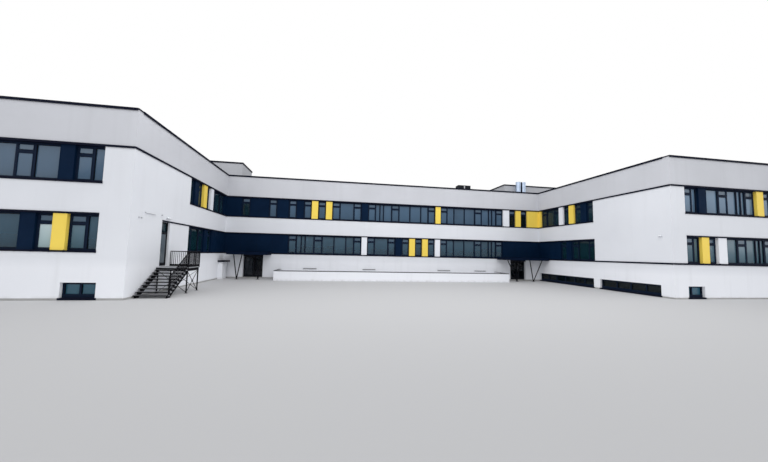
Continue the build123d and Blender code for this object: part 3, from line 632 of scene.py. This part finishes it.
# Coping: a cap over the whole run, seams where its lengths meet and drips under both edges
COPING_RIM, CAP, CAP_PAST, COPING_DRIP = 0.025, 0.010, 0.004, 0.034
SEAM_PITCH, HALF_SEAM, SEAM_RISE, SEAM_PAST = 1.500, 0.020, 0.012, 0.006
coping_edges = (-WALL - COPING_RIM, COPING_RIM)
caps, seams, drips = (bmesh.new() for _ in range(3))
for wall in walls:
    for middle in shares(wall.coping, SEAM_PITCH):
        v = (MASONRY_TOP - THIN_SHEET, PARAPET_TOP + SEAM_RISE)
        add_block(seams, wall.place, around(middle, HALF_SEAM), v, widened(coping_edges, SEAM_PAST), ARRIS)
    w = widened(coping_edges, CAP_PAST)
    add_block(caps, wall.place, wall.coping, onward(PARAPET_TOP, CAP), w, SOFT_ARRIS)
    for w in ((COPING_RIM - SHEET, COPING_RIM), onward(coping_edges[0], SHEET)):
        add_block(drips, wall.place, wall.coping, (MASONRY_TOP - COPING_DRIP, MASONRY_TOP), w)
keep_all("dark_trim", coping_caps=caps, coping_seams=seams, coping_drips=drips)

# Doors: gaskets round the glass, a kick plate, the pull's feet, a lock and a middle hinge on each leaf
DOOR_BAR, DOOR_GAP, MEETING_GAP = 0.030, 0.006, 0.008
STILE, FOOT_RAIL, LEAF, GASKET, GASKET_DEPTH = 0.035, 0.090, 0.025, 0.007, 0.0055
KICK_INSET, KICK_EDGES, KICK_SHEET, KICK_ARRIS = 0.050, (0.012, 0.078), 0.0012, 0.0005
PULL_FOOT, PULL_LENGTH, PULL_INSET, PULL_BAR, HALF_ROSE = 0.450, 0.240, 0.018, 0.015, 0.012
LOCK_DROP, LOCK_RADIUS, LOCK_PROUD, LOCK_SIDES = 0.045, 0.009, 0.005, 24
HINGE_RADIUS, HINGE_INSET, HINGE_LENGTH, KNUCKLE_PLAY = 0.006, 0.070, 0.050, 0.0003
SIDE_HINGE_DROP = 0.300
LEAF_FLAP, FRAME_FLAP = (0.003, 0.020), (0.0075, 0.022)
SOFFIT, FLAT_OUT = 1.160, 0.006


class Leaf:
    """A door leaf in its doorway: its edges on the wall face, its hinged side and the body it rides on."""

    def __init__(self, body, wall, doorway, side, foot, leaf_head, reveal):
        left, right = doorway
        middle = (left + right) / 2
        self.body, self.wall, self.face, self.foot = body, wall, -reveal, foot
        self.low, self.high = foot + DOOR_GAP, leaf_head - DOOR_GAP
        self.left = middle + MEETING_GAP / 2 if side == "right" else left + DOOR_BAR + DOOR_GAP
        self.right = middle - MEETING_GAP / 2 if side == "left" else right - DOOR_BAR - DOOR_GAP
        self.hinge = left + DOOR_BAR if side == "left" else right - DOOR_BAR
        self.inward = 1 if side == "left" else -1
        self.pull = self.right - PULL_INSET if side == "left" else self.left + PULL_INSET

    def beside_hinge(self, flap, inward):
        """The edges of a hinge's flap, on the leaf where inward is 1 and on the frame where it is -1."""
        return sorted(self.hinge + self.inward * inward * edge for edge in flap)


# Each doorway's edges on its wall, then its foot, the leaves' head and the reveal
left_entrance, right_entrance, side_doorway = (0.900, 1.835), (15.200, 16.150), left_inner.ground[1][1:]
entrance, side_door = (0.050, 1.045, 0.150), (GROUND_FLOOR, 1.850, 0.055)
leaves = [
    Leaf(f"{name}_{side}_door", court, doorway, side, *entrance)
    for name, doorway in (("left_entrance", left_entrance), ("right_entrance", right_entrance))
    for side in ("left", "right")
]
leaves.append(Leaf("side_door", left_inner, side_doorway, "single", *side_door))
hinge_plates = bmesh.new()
for leaf in leaves:
    gaskets, fittings = bmesh.new(), bmesh.new()
    place, face = leaf.wall.place, leaf.face
    u, v = (leaf.left + STILE, leaf.right - STILE), (leaf.low + FOOT_RAIL, leaf.high - STILE)
    for back_edge in (face - SHEET - GASKET_DEPTH, face - LEAF + SHEET):
        add_ring(gaskets, place, u, v, onward(back_edge, GASKET_DEPTH), GASKET)
    keep_piece(gaskets, f"{leaf.body}_gaskets", "door_metal", black_rubber, leaf.body)

    u, v = widened((leaf.left, leaf.right), -KICK_INSET), [leaf.low + edge for edge in KICK_EDGES]
    add_block(fittings, place, u, v, onward(face, KICK_SHEET), KICK_ARRIS)
    for height in (PULL_FOOT + PULL_BAR, PULL_FOOT + PULL_LENGTH - PULL_BAR):
        u, v = around(leaf.pull, HALF_ROSE), around(leaf.foot + height, HALF_ROSE)
        add_block(fittings, place, u, v, onward(face, SHEET), ARRIS)
    height = leaf.foot + PULL_FOOT - LOCK_DROP
    add_pin(fittings, place, leaf.pull, height, onward(face, LOCK_PROUD), LOCK_RADIUS, LOCK_SIDES, ARRIS)

    middle_hinge = (leaf.low + leaf.high - HINGE_LENGTH) / 2
    if leaf.body == "side_door":
        middle_hinge = leaf.high - SIDE_HINGE_DROP
    hinge_edges = onward(middle_hinge, HINGE_LENGTH)
    radius = HINGE_RADIUS - KNUCKLE_PLAY
    add_upright(fittings, place, leaf.hinge, hinge_edges, face + HINGE_RADIUS, radius)
    add_block(fittings, place, leaf.beside_hinge(LEAF_FLAP, 1), hinge_edges, onward(face, HINGE_RADIUS))
    keep_piece(fittings, f"{leaf.body}_fittings", "door_metal", body=leaf.body)
    end_hinge = HINGE_INSET - HINGE_LENGTH / 2
    for foot in (leaf.low + end_hinge, middle_hinge, leaf.high - HINGE_INSET - HINGE_LENGTH / 2):
        u, v = leaf.beside_hinge(FRAME_FLAP, -1), onward(foot, HINGE_LENGTH)
        add_block(hinge_plates, place, u, v, onward(face, PLATE), ARRIS)
keep_piece(hinge_plates, "frame_hinge_plates", "door_metal")

# A dark flat over each entrance, from the door head to the canopy's soffit: painted shade under the canopy.
shade_flats = bmesh.new()
for u in (left_entrance, right_entrance):
    add_block(shade_flats, court.place, u, (entrance[1] + DOOR_BAR, SOFFIT), (0.0, FLAT_OUT), ARRIS)
keep_piece(shade_flats, "doorway_painted_shade_flats", "door_metal")

TRANSOM_BEAD = (-0.090, -0.075)
transom_bead = bmesh.new()
u, v = widened(side_doorway, -DOOR_BAR), widened((side_door[1], GROUND[1]), -DOOR_BAR)
add_ring(transom_bead, left_inner.place, u, v, TRANSOM_BEAD, BEAD)
keep_piece(transom_bead, "side_door_transom_bead", "door_metal", black_rubber)

# Canopies: flashings round the edge, joints, three soffit lamps each, and plates and bolts on the columns.
# A canopy has its two ends, and for each pair of columns its foot and how far the heads spread from it.
CANOPY_TOP, CANOPY_OUT, COLUMN_OUT = 1.290, 0.920, 0.670
TOP_FLASHING, FOOT_FLASHING = (0.022, 0.006), (0.008, 0.012)
WALL_GAP, BACK_FLASHING, BACK_SHEET, CANOPY_SHEET_WIDTH = 0.020, 0.030, 0.006, 0.600
HALF_CANOPY_JOINT, HALF_CANOPY_SEAM, CANOPY_SEAM_RISE = 0.004, 0.006, 0.008
LAMP_COUNT, LAMP_OUT, LAMP_RIM, LAMP, LAMP_SIDES = 3, 0.400, (0.055, 0.006), (0.044, 0.009), 32
FOOT_PLATE, HALF_FOOT_PLATE, HEAD_PLATE = 0.008, 0.070, (0.055, 0.045)
BOLT_REACH, BOLT_ENDS, BOLT_RADIUS = 0.050, (0.006, 0.018), 0.008
canopies = [
    ((0.400, 2.220), ((0.835, 0.185, 0.185), (1.785, 0.185, 0.185))),
    ((14.375, 16.950), ((15.175, 0.550, 0.200), (16.150, 0.200, 0.550))),
]
fascias, soffit_lamps, lamp_rims, feet, bolts = (bmesh.new() for _ in range(5))
place = court.place
for (left, right), columns in canopies:
    for v in ((CANOPY_TOP - TOP_FLASHING[0], CANOPY_TOP + TOP_FLASHING[1]),
              (SOFFIT - FOOT_FLASHING[0], SOFFIT + FOOT_FLASHING[1])):
        add_block(fascias, place, widened((left, right), PLATE), v, onward(CANOPY_OUT, PLATE), ARRIS)
        for u in ((left - PLATE, left), (right, right + PLATE)):
            add_block(fascias, place, u, v, (WALL_GAP, CANOPY_OUT), ARRIS)
    w = onward(WALL_GAP, BACK_SHEET)
    add_block(fascias, place, (left, right), onward(CANOPY_TOP, BACK_FLASHING), w, ARRIS)
    for middle in shares((left, right), CANOPY_SHEET_WIDTH):
        u = around(middle, HALF_CANOPY_JOINT)
        add_block(fascias, place, u, (SOFFIT, CANOPY_TOP), onward(CANOPY_OUT, THIN_SHEET))
        u, v = around(middle, HALF_CANOPY_SEAM), onward(CANOPY_TOP, CANOPY_SEAM_RISE)
        add_block(fascias, place, u, v, (WALL_GAP + BACK_SHEET, CANOPY_OUT), ARRIS)
    for number in range(LAMP_COUNT):
        middle = left + (right - left) * (number + 0.5) / LAMP_COUNT
        for bm, (radius, drop) in ((lamp_rims, LAMP_RIM), (soffit_lamps, LAMP)):
            add_upright(bm, place, middle, (SOFFIT - drop, SOFFIT), LAMP_OUT, radius, LAMP_SIDES, ARRIS)
    for foot, left_spread, right_spread in columns:
        u, w = around(foot, HALF_FOOT_PLATE), around(COLUMN_OUT, HALF_FOOT_PLATE)
        add_block(feet, place, u, (0.0, FOOT_PLATE), w, ARRIS)
        for head in (foot - left_spread, foot + right_spread):
            u, w = around(head, HEAD_PLATE[0]), around(COLUMN_OUT, HEAD_PLATE[1])
            add_block(feet, place, u, (SOFFIT - FOOT_PLATE, SOFFIT), w, ARRIS)
        for along in around(foot, BOLT_REACH):
            for out in around(COLUMN_OUT, BOLT_REACH):
                add_upright(bolts, place, along, BOLT_ENDS, out, BOLT_RADIUS, HEXAGON)
keep_piece(fascias, "canopy_flashings", "canopy_metal")
keep_piece(lamp_rims, "canopy_lamp_rims", "canopy_metal", lamp_case)
keep_piece(soffit_lamps, "canopy_lamps", "canopy_metal", lamp_glass)
keep_piece(feet, "column_plates", "stair_steel")

# Stair to the side door: nosings and ribs on the treads, bolts, plates, kick strips and a handrail
RISERS, GOING, TREAD, TREAD_NOSING, NOSE, HEEL = 10, 0.118, 0.020, 0.012, 0.012, 0.006
LANDING_TOP, LANDING, STAIR_IN, STAIR_OUT = 0.790, 0.770, 0.040, 0.890
LEG, DECK, CHANNEL, STRINGER_IN, RAIL, RAIL_BAR = 0.030, 0.030, 0.090, 0.030, 0.480, 0.016
RIB_COUNT, RIB_PITCH, RIB_START, HALF_RIB, RIB_INSET = 5, 0.018, 0.008, 0.0025, 0.010
TREAD_BOLTS, TREAD_BOLT_DROP, TREAD_BOLT = (0.035, 0.085), 0.018, 0.007
BASE_PLATE, BASE_PAST, BASE_BOLT_INSET = 0.006, 0.025, 0.012
BASE_BOLT_ENDS, BASE_BOLT_RADIUS = (0.004, 0.014), 0.006
STRINGER_PLATE, STRINGER_PAST = (0.010, 0.170), (0.020, 0.032)
HALF_CROSS_PLATE, HALF_CROSS_DEPTH, KICK_STRIP, KICK_GAP = 0.035, 0.010, 0.050, 0.010
KNOB_SIDES, KNOB_RINGS = 16, 10
rise = LANDING_TOP / RISERS
landing_start = (sum(side_doorway) - LANDING) / 2
landing_end = landing_start + LANDING
flight_start = landing_start - (RISERS - 1) * GOING
place = left_inner.place
nosings, ribs, stair_bolts, plates, kicks, handrails = (bmesh.new() for _ in range(6))
for step in range(1, RISERS):
    front = flight_start + (step - 1) * GOING - TREAD_NOSING
    height = step * rise
    u, v = (front - SHEET, front + NOSE), (height - TREAD - PLATE, height + THIN_SHEET)
    add_block(nosings, place, u, v, (STAIR_IN, STAIR_OUT), ARRIS)
    u, v = (front + GOING - HEEL, front + GOING), (height - TREAD, height + HAIR)
    add_block(nosings, place, u, v, (STAIR_IN, STAIR_OUT))
    for rib in range(1, RIB_COUNT + 1):
        u = around(front + RIB_START + rib * RIB_PITCH, HALF_RIB)
        w = widened((STAIR_IN, STAIR_OUT), -RIB_INSET)
        add_block(ribs, place, u, onward(height, THIN_SHEET), w)
    for across in TREAD_BOLTS:
        along, up = front + TREAD_NOSING + across, height - TREAD - TREAD_BOLT_DROP
        outs = onward(STAIR_OUT - STRINGER_IN, TREAD_BOLT)
        add_pin(stair_bolts, place, along, up, outs, TREAD_BOLT, HEXAGON)
for out in (STAIR_IN, STAIR_OUT - LEG):
    for along in (landing_start, landing_end - LEG):
        u, w = widened(onward(along, LEG), BASE_PAST), widened(onward(out, LEG), BASE_PAST)
        add_block(plates, place, u, (0.0, BASE_PLATE), w, ARRIS)
        for across, depth in zip(widened(u, -BASE_BOLT_INSET), widened(w, -BASE_BOLT_INSET)):
            add_upright(stair_bolts, place, across, BASE_BOLT_ENDS, depth, BASE_BOLT_RADIUS, HEXAGON)
for stringer, inward in ((STAIR_IN + STRINGER_IN, 1), (STAIR_OUT - STRINGER_IN, -1)):
    u = (flight_start - STRINGER_PLATE[0], flight_start + STRINGER_PLATE[1])
    w = sorted((stringer - inward * STRINGER_PAST[0], stringer + inward * STRINGER_PAST[1]))
    add_block(plates, place, u, (0.0, BASE_PLATE), w, ARRIS)

# A plate where the outer braces cross, between the ground and the channel
cross = ((landing_start + landing_end) / 2, (LANDING_TOP - DECK - CHANNEL + LEG) / 2, STAIR_OUT - LEG / 2)
u, v = around(cross[0], HALF_CROSS_PLATE), around(cross[1], HALF_CROSS_PLATE)
add_block(plates, place, u, v, around(cross[2], HALF_CROSS_DEPTH), ARRIS)
v = onward(LANDING_TOP, KICK_STRIP)
add_block(kicks, place, (landing_start, landing_end), v, (STAIR_OUT - PLATE, STAIR_OUT))
add_block(kicks, place, (landing_end - PLATE, landing_end), v, (KICK_GAP, STAIR_OUT - PLATE))

out, rail_end = STAIR_OUT + RAIL_BAR / 2, landing_end + RAIL_BAR / 2
turns = on_wall(
    place, (flight_start - TREAD_NOSING, rise + RAIL, out), (landing_start, LANDING_TOP + RAIL, out),
    (rail_end, LANDING_TOP + RAIL, out), (rail_end, LANDING_TOP + RAIL, PLATE))
add_rail(handrails, turns)
for corner in turns[:3]:
    bmesh.ops.create_uvsphere(
        handrails, u_segments=KNOB_SIDES, v_segments=KNOB_RINGS, radius=HANDRAIL,
        matrix=Matrix.Translation(corner))
keep_piece(nosings, "tread_nosings", "stair_steel")
keep_piece(ribs, "tread_ribs", "deck_grating")
keep_all("stair_steel", stair_plates=plates, landing_kick_strips=kicks, stair_handrails=handrails)
keep_all("stair_steel", bolt_steel, stair_bolts=stair_bolts, column_bolts=bolts)

# Low wall in the court: coping seams and a drip, ledges on the wall behind it with a dark strip under each,
# and two short rails
AREA, AREA_OUT, AREA_TOP, AREA_WALL = (2.600, 14.340), 1.300, 0.465, 0.125
AREA_SEAM_PITCH, HALF_AREA_SEAM, AREA_COPING, AREA_DRIP = 1.200, 0.003, 0.030, (0.036, 0.028)
LEDGES = ((3.785, 4.459), (6.800, 7.485), (10.887, 11.607), (13.030, 13.684))
LEDGE_EDGES, LEDGE_OUT, UNDER_LEDGE, UNDER_LEDGE_OUT = (0.498, 0.512), 0.035, 0.012, 0.028
RAIL_POSTS, RAIL_HEAD, RAIL_TIP, RAIL_FOOT = ((2.960, 2.760), (13.520, 13.840)), 0.045, 0.008, 0.010
place = court.place
area_seams, ledges, area_rails = (bmesh.new() for _ in range(3))
for middle in shares(AREA, AREA_SEAM_PITCH):
    v, w = (AREA_TOP - AREA_COPING, AREA_TOP + HAIR), widened((AREA_OUT - AREA_WALL, AREA_OUT), HAIR)
    add_block(area_seams, place, around(middle, HALF_AREA_SEAM), v, w)
v = (AREA_TOP - AREA_DRIP[0], AREA_TOP - AREA_DRIP[1])
add_block(area_seams, place, widened(AREA, THIN_SHEET), v, onward(AREA_OUT, SHEET))
# The ledges are dark grey with a dark strip under each: the real ledges, and in their colour and the strip a
# painted shadow.
for u in LEDGES:
    add_block(ledges, place, u, LEDGE_EDGES, (0.0, LEDGE_OUT), SOFT_ARRIS)
    v = (LEDGE_EDGES[0] - UNDER_LEDGE, LEDGE_EDGES[0])
    add_block(ledges, place, widened(u, -PLATE), v, (0.0, UNDER_LEDGE_OUT))
for post, tip in RAIL_POSTS:
    out, high = AREA_OUT - AREA_WALL / 2, AREA_TOP + RAIL_HEAD
    foot, end = (post, AREA_TOP - RAIL_FOOT, out), (tip, AREA_TOP + RAIL_TIP, out)
    add_rail(area_rails, on_wall(place, foot, (post, high, out), end))
keep_piece(area_seams, "low_wall_coping_seams", "grey_coping", trim_paint)
keep_piece(ledges, "court_wall_ledges_painted_shadow", "grey_coping")
keep_piece(area_rails, "low_wall_rails", "stair_steel", lamp_case)

# Lamps on the court's sides: a long one and three round ones over the stair, and two with a shade
LAMP_BODY, HALF_ROUND_LAMP, ROUND_LAMP, ROUND_LAMP_SIDES = 0.030, 0.020, 0.012, 20
SHADE_ARRIS, SHADE_IN = 0.012, (0.006, 0.005)
LONG_LAMP, LONG_DIFFUSER = ((0.608, 1.130), (2.346, 2.372)), ((0.622, 1.116), (2.350, 2.368))
ROUND_LAMPS = ((0.364, 2.187), (0.473, 2.188), (1.475, 2.377))
SHADED_LAMPS = (
    (left_inner, (1.740, 1.956), (2.298, 2.306, 2.350), 0.060),
    (right_inner, (6.640, 6.762), (2.190, 2.200, 2.245), 0.055),
)
lamp_cases, diffusers = bmesh.new(), bmesh.new()
place = left_inner.place
add_block(lamp_cases, place, *LONG_LAMP, (0.0, LAMP_BODY), SHEET)
add_block(diffusers, place, *LONG_DIFFUSER, onward(LAMP_BODY, ROUND_LAMP), PLATE)
for middle, height in ROUND_LAMPS:
    u, v = around(middle, HALF_ROUND_LAMP), around(height, HALF_ROUND_LAMP)
    add_block(lamp_cases, place, u, v, (0.0, LAMP_BODY), PLATE)
    outs = onward(LAMP_BODY, ROUND_LAMP)
    add_pin(lamp_cases, place, middle, height - PLATE, outs, ROUND_LAMP, ROUND_LAMP_SIDES, SOFT_ARRIS)
for wall, u, (foot, shelf, head), out in SHADED_LAMPS:
    add_block(lamp_cases, wall.place, u, (foot, shelf), (0.0, out), SOFT_ARRIS)
    u, w = widened(u, -SHADE_IN[0]), (0.0, out - SHADE_IN[1])
    add_block(diffusers, wall.place, u, (shelf, head), w, SHADE_ARRIS)
keep_piece(lamp_cases, "wall_lamp_cases", "unit_metal", lamp_case)
keep_piece(diffusers, "wall_lamp_diffusers", "unit_metal", lamp_glass)

# A drip round the three open sides of the service block's cap
CAP_EDGES, CAP_FOOT, CAP_OUT, CAP_DRIP = (6.340, 7.010), 0.800, 0.330, 0.010
cap_trim = bmesh.new()
v = (CAP_FOOT - CAP_DRIP, CAP_FOOT + PLATE)
add_block(cap_trim, place, widened(CAP_EDGES, SHEET), v, onward(CAP_OUT, SHEET))
for u in ((CAP_EDGES[0] - SHEET, CAP_EDGES[0]), onward(CAP_EDGES[1], SHEET)):
    add_block(cap_trim, place, u, v, (0.0, CAP_OUT))
keep_piece(cap_trim, "service_cap_drip", "dark_trim")

# Roof: felt in lengths with laps, and upstands along the parapets
FELT, LAP, LAP_PITCH, HALF_LAP, UPSTAND, UPSTAND_SKIN = 0.004, 0.003, 1.000, 0.030, 0.150, 0.005
upright = Matrix.Identity(4)
felt, laps, upstands = (bmesh.new() for _ in range(3))
roofs = [
    ((-HALF_WIDTH + WALL, -HALF_COURT - WALL), FRONT_Y), ((-HALF_COURT - WALL, HALF_COURT + WALL), COURT_Y),
    ((HALF_COURT + WALL, HALF_WIDTH - WALL), FRONT_Y),
]
for across, front in roofs:
    along = (front + WALL, BACK_Y - WALL)
    add_block(felt, upright, across, along, onward(ROOF, FELT))
    for middle in shares(across, LAP_PITCH):
        add_block(laps, upright, around(middle, HALF_LAP), along, onward(ROOF + FELT, LAP))
for wall in walls:
    add_block(upstands, wall.place, wall.inner, onward(ROOF, UPSTAND), (-WALL - UPSTAND_SKIN, -WALL))
keep_all("concrete", roof_felt, roof_felt=felt, roof_felt_laps=laps, roof_upstands=upstands)

# Roof houses: a felt upstand at the foot, a drip under the coping and a cap on it
HOUSE_CORNERS, HOUSE_SIZE, HOUSE_HEIGHT = ((-12.000, 0.750), (7.575, 1.830)), (3.850, 1.830), 1.600
HOUSE_COPING, HOUSE_CAP, HOUSE_CAP_PAST = 0.030, 0.010, 0.029
HOUSE_TOP = ROOF + HOUSE_HEIGHT - HOUSE_COPING
house_upstands, house_trim = bmesh.new(), bmesh.new()


def add_band(bm, across, along, heights, past, skin):
    """A band round a roof house, out from its walls by past and as thick as skin."""
    wide, deep = widened(across, past), widened(along, past)
    for u, v in ((wide, onward(deep[0], skin)), (wide, (deep[1] - skin, deep[1])),
                 (onward(wide[0], skin), along), ((wide[1] - skin, wide[1]), along)):
        add_block(bm, upright, u, v, heights)


for left, front in HOUSE_CORNERS:
    across, along = onward(left, HOUSE_SIZE[0]), onward(front, HOUSE_SIZE[1])
    add_band(house_upstands, across, along, onward(ROOF, UPSTAND), UPSTAND_SKIN, UPSTAND_SKIN)
    add_band(house_trim, across, along, (HOUSE_TOP - COPING_DRIP, HOUSE_TOP), COPING_RIM, SHEET)
    across, along = widened(across, HOUSE_CAP_PAST), widened(along, HOUSE_CAP_PAST)
    add_block(house_trim, upright, across, along, onward(HOUSE_TOP + HOUSE_COPING, HOUSE_CAP), SOFT_ARRIS)
keep_piece(house_upstands, "roof_house_upstands", "concrete", roof_felt)
keep_piece(house_trim, "roof_house_trim", "dark_trim")

# Ducts: jointed in bands, with a cowl rim and a dark pipe between them
DUCT_X, DUCT_PITCH, DUCT_Y, DUCT_RADIUS, DUCT_HEIGHT, DUCT_SIDES = 8.425, 0.350, 1.625, 0.150, 1.750, 48
BAND_LENGTH, BAND_PROUD, BAND_PITCH, MIDDLE_BANDS = 0.028, 0.006, 0.350, 4
FOOT_BAND, COWL_RIM = 0.010, 0.030
PIPE_RADIUS, PIPE_FORWARD, PIPE_SHORT, PIPE_SIDES = 0.030, 0.090, 0.003, 24
duct_top = ROOF + DUCT_HEIGHT
bands, duct_pipe = bmesh.new(), bmesh.new()
middle_bands = [ROOF + BAND_PITCH * step for step in range(1, MIDDLE_BANDS + 1)]
band_feet = [ROOF + FOOT_BAND] + middle_bands + [duct_top - COWL_RIM]
for x in onward(DUCT_X, DUCT_PITCH):
    for height in band_feet:
        ends = ((x, DUCT_Y, height), (x, DUCT_Y, height + BAND_LENGTH))
        add_rod(bands, *ends, DUCT_RADIUS + BAND_PROUD, DUCT_SIDES, SOFT_ARRIS)
pipe_at = (DUCT_X + DUCT_PITCH / 2, DUCT_Y - PIPE_FORWARD)
ends = ((*pipe_at, ROOF), (*pipe_at, duct_top - PIPE_SHORT))
add_rod(duct_pipe, *ends, PIPE_RADIUS, PIPE_SIDES, SOFT_ARRIS)
keep_piece(bands, "duct_bands", "duct_metal")
keep_piece(duct_pipe, "duct_side_pipe", "duct_metal", trim_paint)

# Air unit: two fan grilles in front and behind, a pale sheet between its halves as painted daylight through
# the gap, and a lid
UNIT_X, UNIT_Y, UNIT_WIDTH, UNIT_DEPTH, UNIT_FOOT, UNIT_HEIGHT = 4.200, 0.600, 0.750, 0.400, 4.725, 0.700
GRILLE_RINGS, GRILLE_OUT, RING_WIRE, ARM_WIRE, GRILLE_ARMS = (0.150, 0.105, 0.060), 0.008, 0.004, 0.003, 4
RING_SIDES, WIRE_SIDES = 32, 6
HALF_UNIT_GAP, UNIT_GAP_EDGES = 0.030, (0.010, 0.030)
LID_DROP, LID_RISE, LID_PAST = 0.020, 0.004, 0.006
unit_top = UNIT_FOOT + UNIT_HEIGHT
grilles, unit_gap_daylight, unit_lid = (bmesh.new() for _ in range(3))
for side in (-1, 1):
    face = UNIT_Y + side * UNIT_DEPTH / 2
    for across in (-UNIT_WIDTH / 4, UNIT_WIDTH / 4):
        hub = Vector((UNIT_X + across, face + side * GRILLE_OUT, UNIT_FOOT + UNIT_HEIGHT / 2))
        for radius in GRILLE_RINGS:
            standing = Matrix.Translation(hub) @ Matrix.Rotation(math.pi / 2, 4, "X")
            ring = bmesh.ops.create_circle(
                grilles, cap_ends=False, segments=RING_SIDES, radius=radius, matrix=standing)["verts"]
            for one, two in zip(ring, ring[1:] + ring[:1]):
                add_rod(grilles, one.co, two.co, RING_WIRE, WIRE_SIDES)
            bmesh.ops.delete(grilles, geom=ring, context="VERTS")
        for number in range(GRILLE_ARMS):
            turn = number * math.pi / GRILLE_ARMS
            arm = Vector((math.cos(turn), 0, math.sin(turn))) * GRILLE_RINGS[0]
            add_rod(grilles, hub - arm, hub + arm, ARM_WIRE, WIRE_SIDES)
    # A pale sheet on each face between the halves: painted daylight seen through the gap.
    v, w = sorted((face, face + side * SHEET)), (UNIT_FOOT + UNIT_GAP_EDGES[0], unit_top - UNIT_GAP_EDGES[1])
    add_block(unit_gap_daylight, upright, around(UNIT_X, HALF_UNIT_GAP), v, w)
u, v = around(UNIT_X, UNIT_WIDTH / 2 + LID_PAST), around(UNIT_Y, UNIT_DEPTH / 2 + LID_PAST)
add_block(unit_lid, upright, u, v, (unit_top - LID_DROP, unit_top + LID_RISE), SOFT_ARRIS)
keep_piece(grilles, "air_unit_grilles", "unit_metal", stair_paint)
keep_piece(unit_gap_daylight, "air_unit_painted_daylight_gap", "unit_metal", lamp_case)
keep_piece(unit_lid, "air_unit_lid", "unit_metal")

# Camera: its focal length in pixels of the photograph's width, how far it sees, its angles and its place
PHOTO_WIDTH, FOCAL, SENSOR, SIGHT = 768, 304.958, 36.0, 500.0
PITCH, ROLL, YAW = (math.radians(angle) for angle in (4.255, 1.298, 9.197))
CAMERA_PLACE = (-3.1950, -16.2079, 1.3426)
ahead = Vector((math.sin(YAW) * math.cos(PITCH), math.cos(YAW) * math.cos(PITCH), math.sin(PITCH)))
level_right = Vector((math.cos(YAW), -math.sin(YAW), 0))
level_up = level_right.cross(ahead)
right = level_right * math.cos(ROLL) + level_up * math.sin(ROLL)
up = level_up * math.cos(ROLL) - level_right * math.sin(ROLL)
lens = bpy.data.cameras.new("photo_camera")
lens.sensor_width = SENSOR
lens.lens = FOCAL / PHOTO_WIDTH * SENSOR
lens.clip_end = SIGHT
camera = bpy.data.objects.new("photo_camera", lens)
camera.matrix_world = Matrix.Translation(CAMERA_PLACE) @ Matrix((right, up, -ahead)).transposed().to_4x4()
scene.collection.objects.link(camera)
scene.camera = camera

# Lamps: a broad soft one from each side and a large flat one over the court
SUN_TURN, SUN_LIFT, SUN_SOFTNESS = (math.radians(angle) for angle in (62, 36, 70))
SUN_STRENGTH = 0.72
COURT_LAMP_SIZE, COURT_LAMP_WATTS = (15.0, 6.0), 430.0
COURT_LAMP_PLACE, COURT_LAMP_BACK = (0, -9.5, 9.0), Vector((0, -0.72, 0.69))
for name, turn in (("soft_left", -SUN_TURN), ("soft_right", SUN_TURN)):
    lamp = bpy.data.lights.new(name, "SUN")
    lamp.energy, lamp.angle = SUN_STRENGTH, SUN_SOFTNESS
    item = bpy.data.objects.new(name, lamp)
    across, back = math.sin(turn) * math.cos(SUN_LIFT), -math.cos(turn) * math.cos(SUN_LIFT)
    source = Vector((across, back, math.sin(SUN_LIFT)))
    item.rotation_euler = source.to_track_quat("Z", "Y").to_euler()
    scene.collection.objects.link(item)

court_lamp = bpy.data.lights.new("soft_court", "AREA")
court_lamp.shape, court_lamp.energy = "RECTANGLE", COURT_LAMP_WATTS
court_lamp.size, court_lamp.size_y = COURT_LAMP_SIZE
court_lamp_item = bpy.data.objects.new("soft_court", court_lamp)
facing = COURT_LAMP_BACK.to_track_quat("Z", "Y").to_matrix().to_4x4()
court_lamp_item.matrix_world = Matrix.Translation(COURT_LAMP_PLACE) @ facing
court_lamp_item.visible_camera = False
scene.collection.objects.link(court_lamp_item)

# World: a soft sky for the object, and plain white where the camera sees it, through glass too
SKY_COLOUR, SKY_STRENGTH = (0.97, 0.985, 1, 1), 0.72
sky = bpy.data.worlds.new("pale_studio")
scene.world = sky
sky.use_nodes = True
ways = add_node(sky, "ShaderNodeLightPath").outputs
sights = {0: ways["Is Camera Ray"], 1: ways["Is Transmission Ray"]}
seen = add_node(sky, "ShaderNodeMath", sights, operation="MAXIMUM")
white_sky = add_node(sky, "ShaderNodeBackground", {"Color": (1, 1, 1, 1)})
soft_sky = add_node(sky, "ShaderNodeBackground", {"Color": SKY_COLOUR, "Strength": SKY_STRENGTH})
mixed = {"Fac": seen.outputs["Value"], 1: soft_sky.outputs["Background"], 2: white_sky.outputs["Background"]}
mixed_sky = add_node(sky, "ShaderNodeMixShader", mixed)
sky.node_tree.links.new(mixed_sky.outputs["Shader"], sky.node_tree.nodes["World Output"].inputs["Surface"])

# Floor: a wide grey sheet just under the building, paler for light that bounces off it
FLOOR_REACH, FLOOR_DROP = 200, 0.002
FLOOR_SEEN, FLOOR_BOUNCE = (0.52, 0.52, 0.53), (0.90, 0.90, 0.91)
ground = bmesh.new()
bmesh.ops.create_grid(
    ground, x_segments=1, y_segments=1, size=FLOOR_REACH, matrix=Matrix.Translation((0, 0, -FLOOR_DROP)))
ground_mesh = bpy.data.meshes.new("studio_floor")
ground.to_mesh(ground_mesh)
ground.free()
floor = bpy.data.objects.new("studio_floor", ground_mesh)
floor_paint = new_finish("studio_floor_paint", (0.6, 0.6, 0.6), 0.9, specular=0.1)
looked_at = add_node(floor_paint, "ShaderNodeLightPath").outputs["Is Camera Ray"]
wire(floor_paint, "Base Color", blend(floor_paint, looked_at, FLOOR_BOUNCE, FLOOR_SEEN))
ground_mesh.materials.append(floor_paint)
scene.collection.objects.link(floor)
floor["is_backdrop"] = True

low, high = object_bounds()
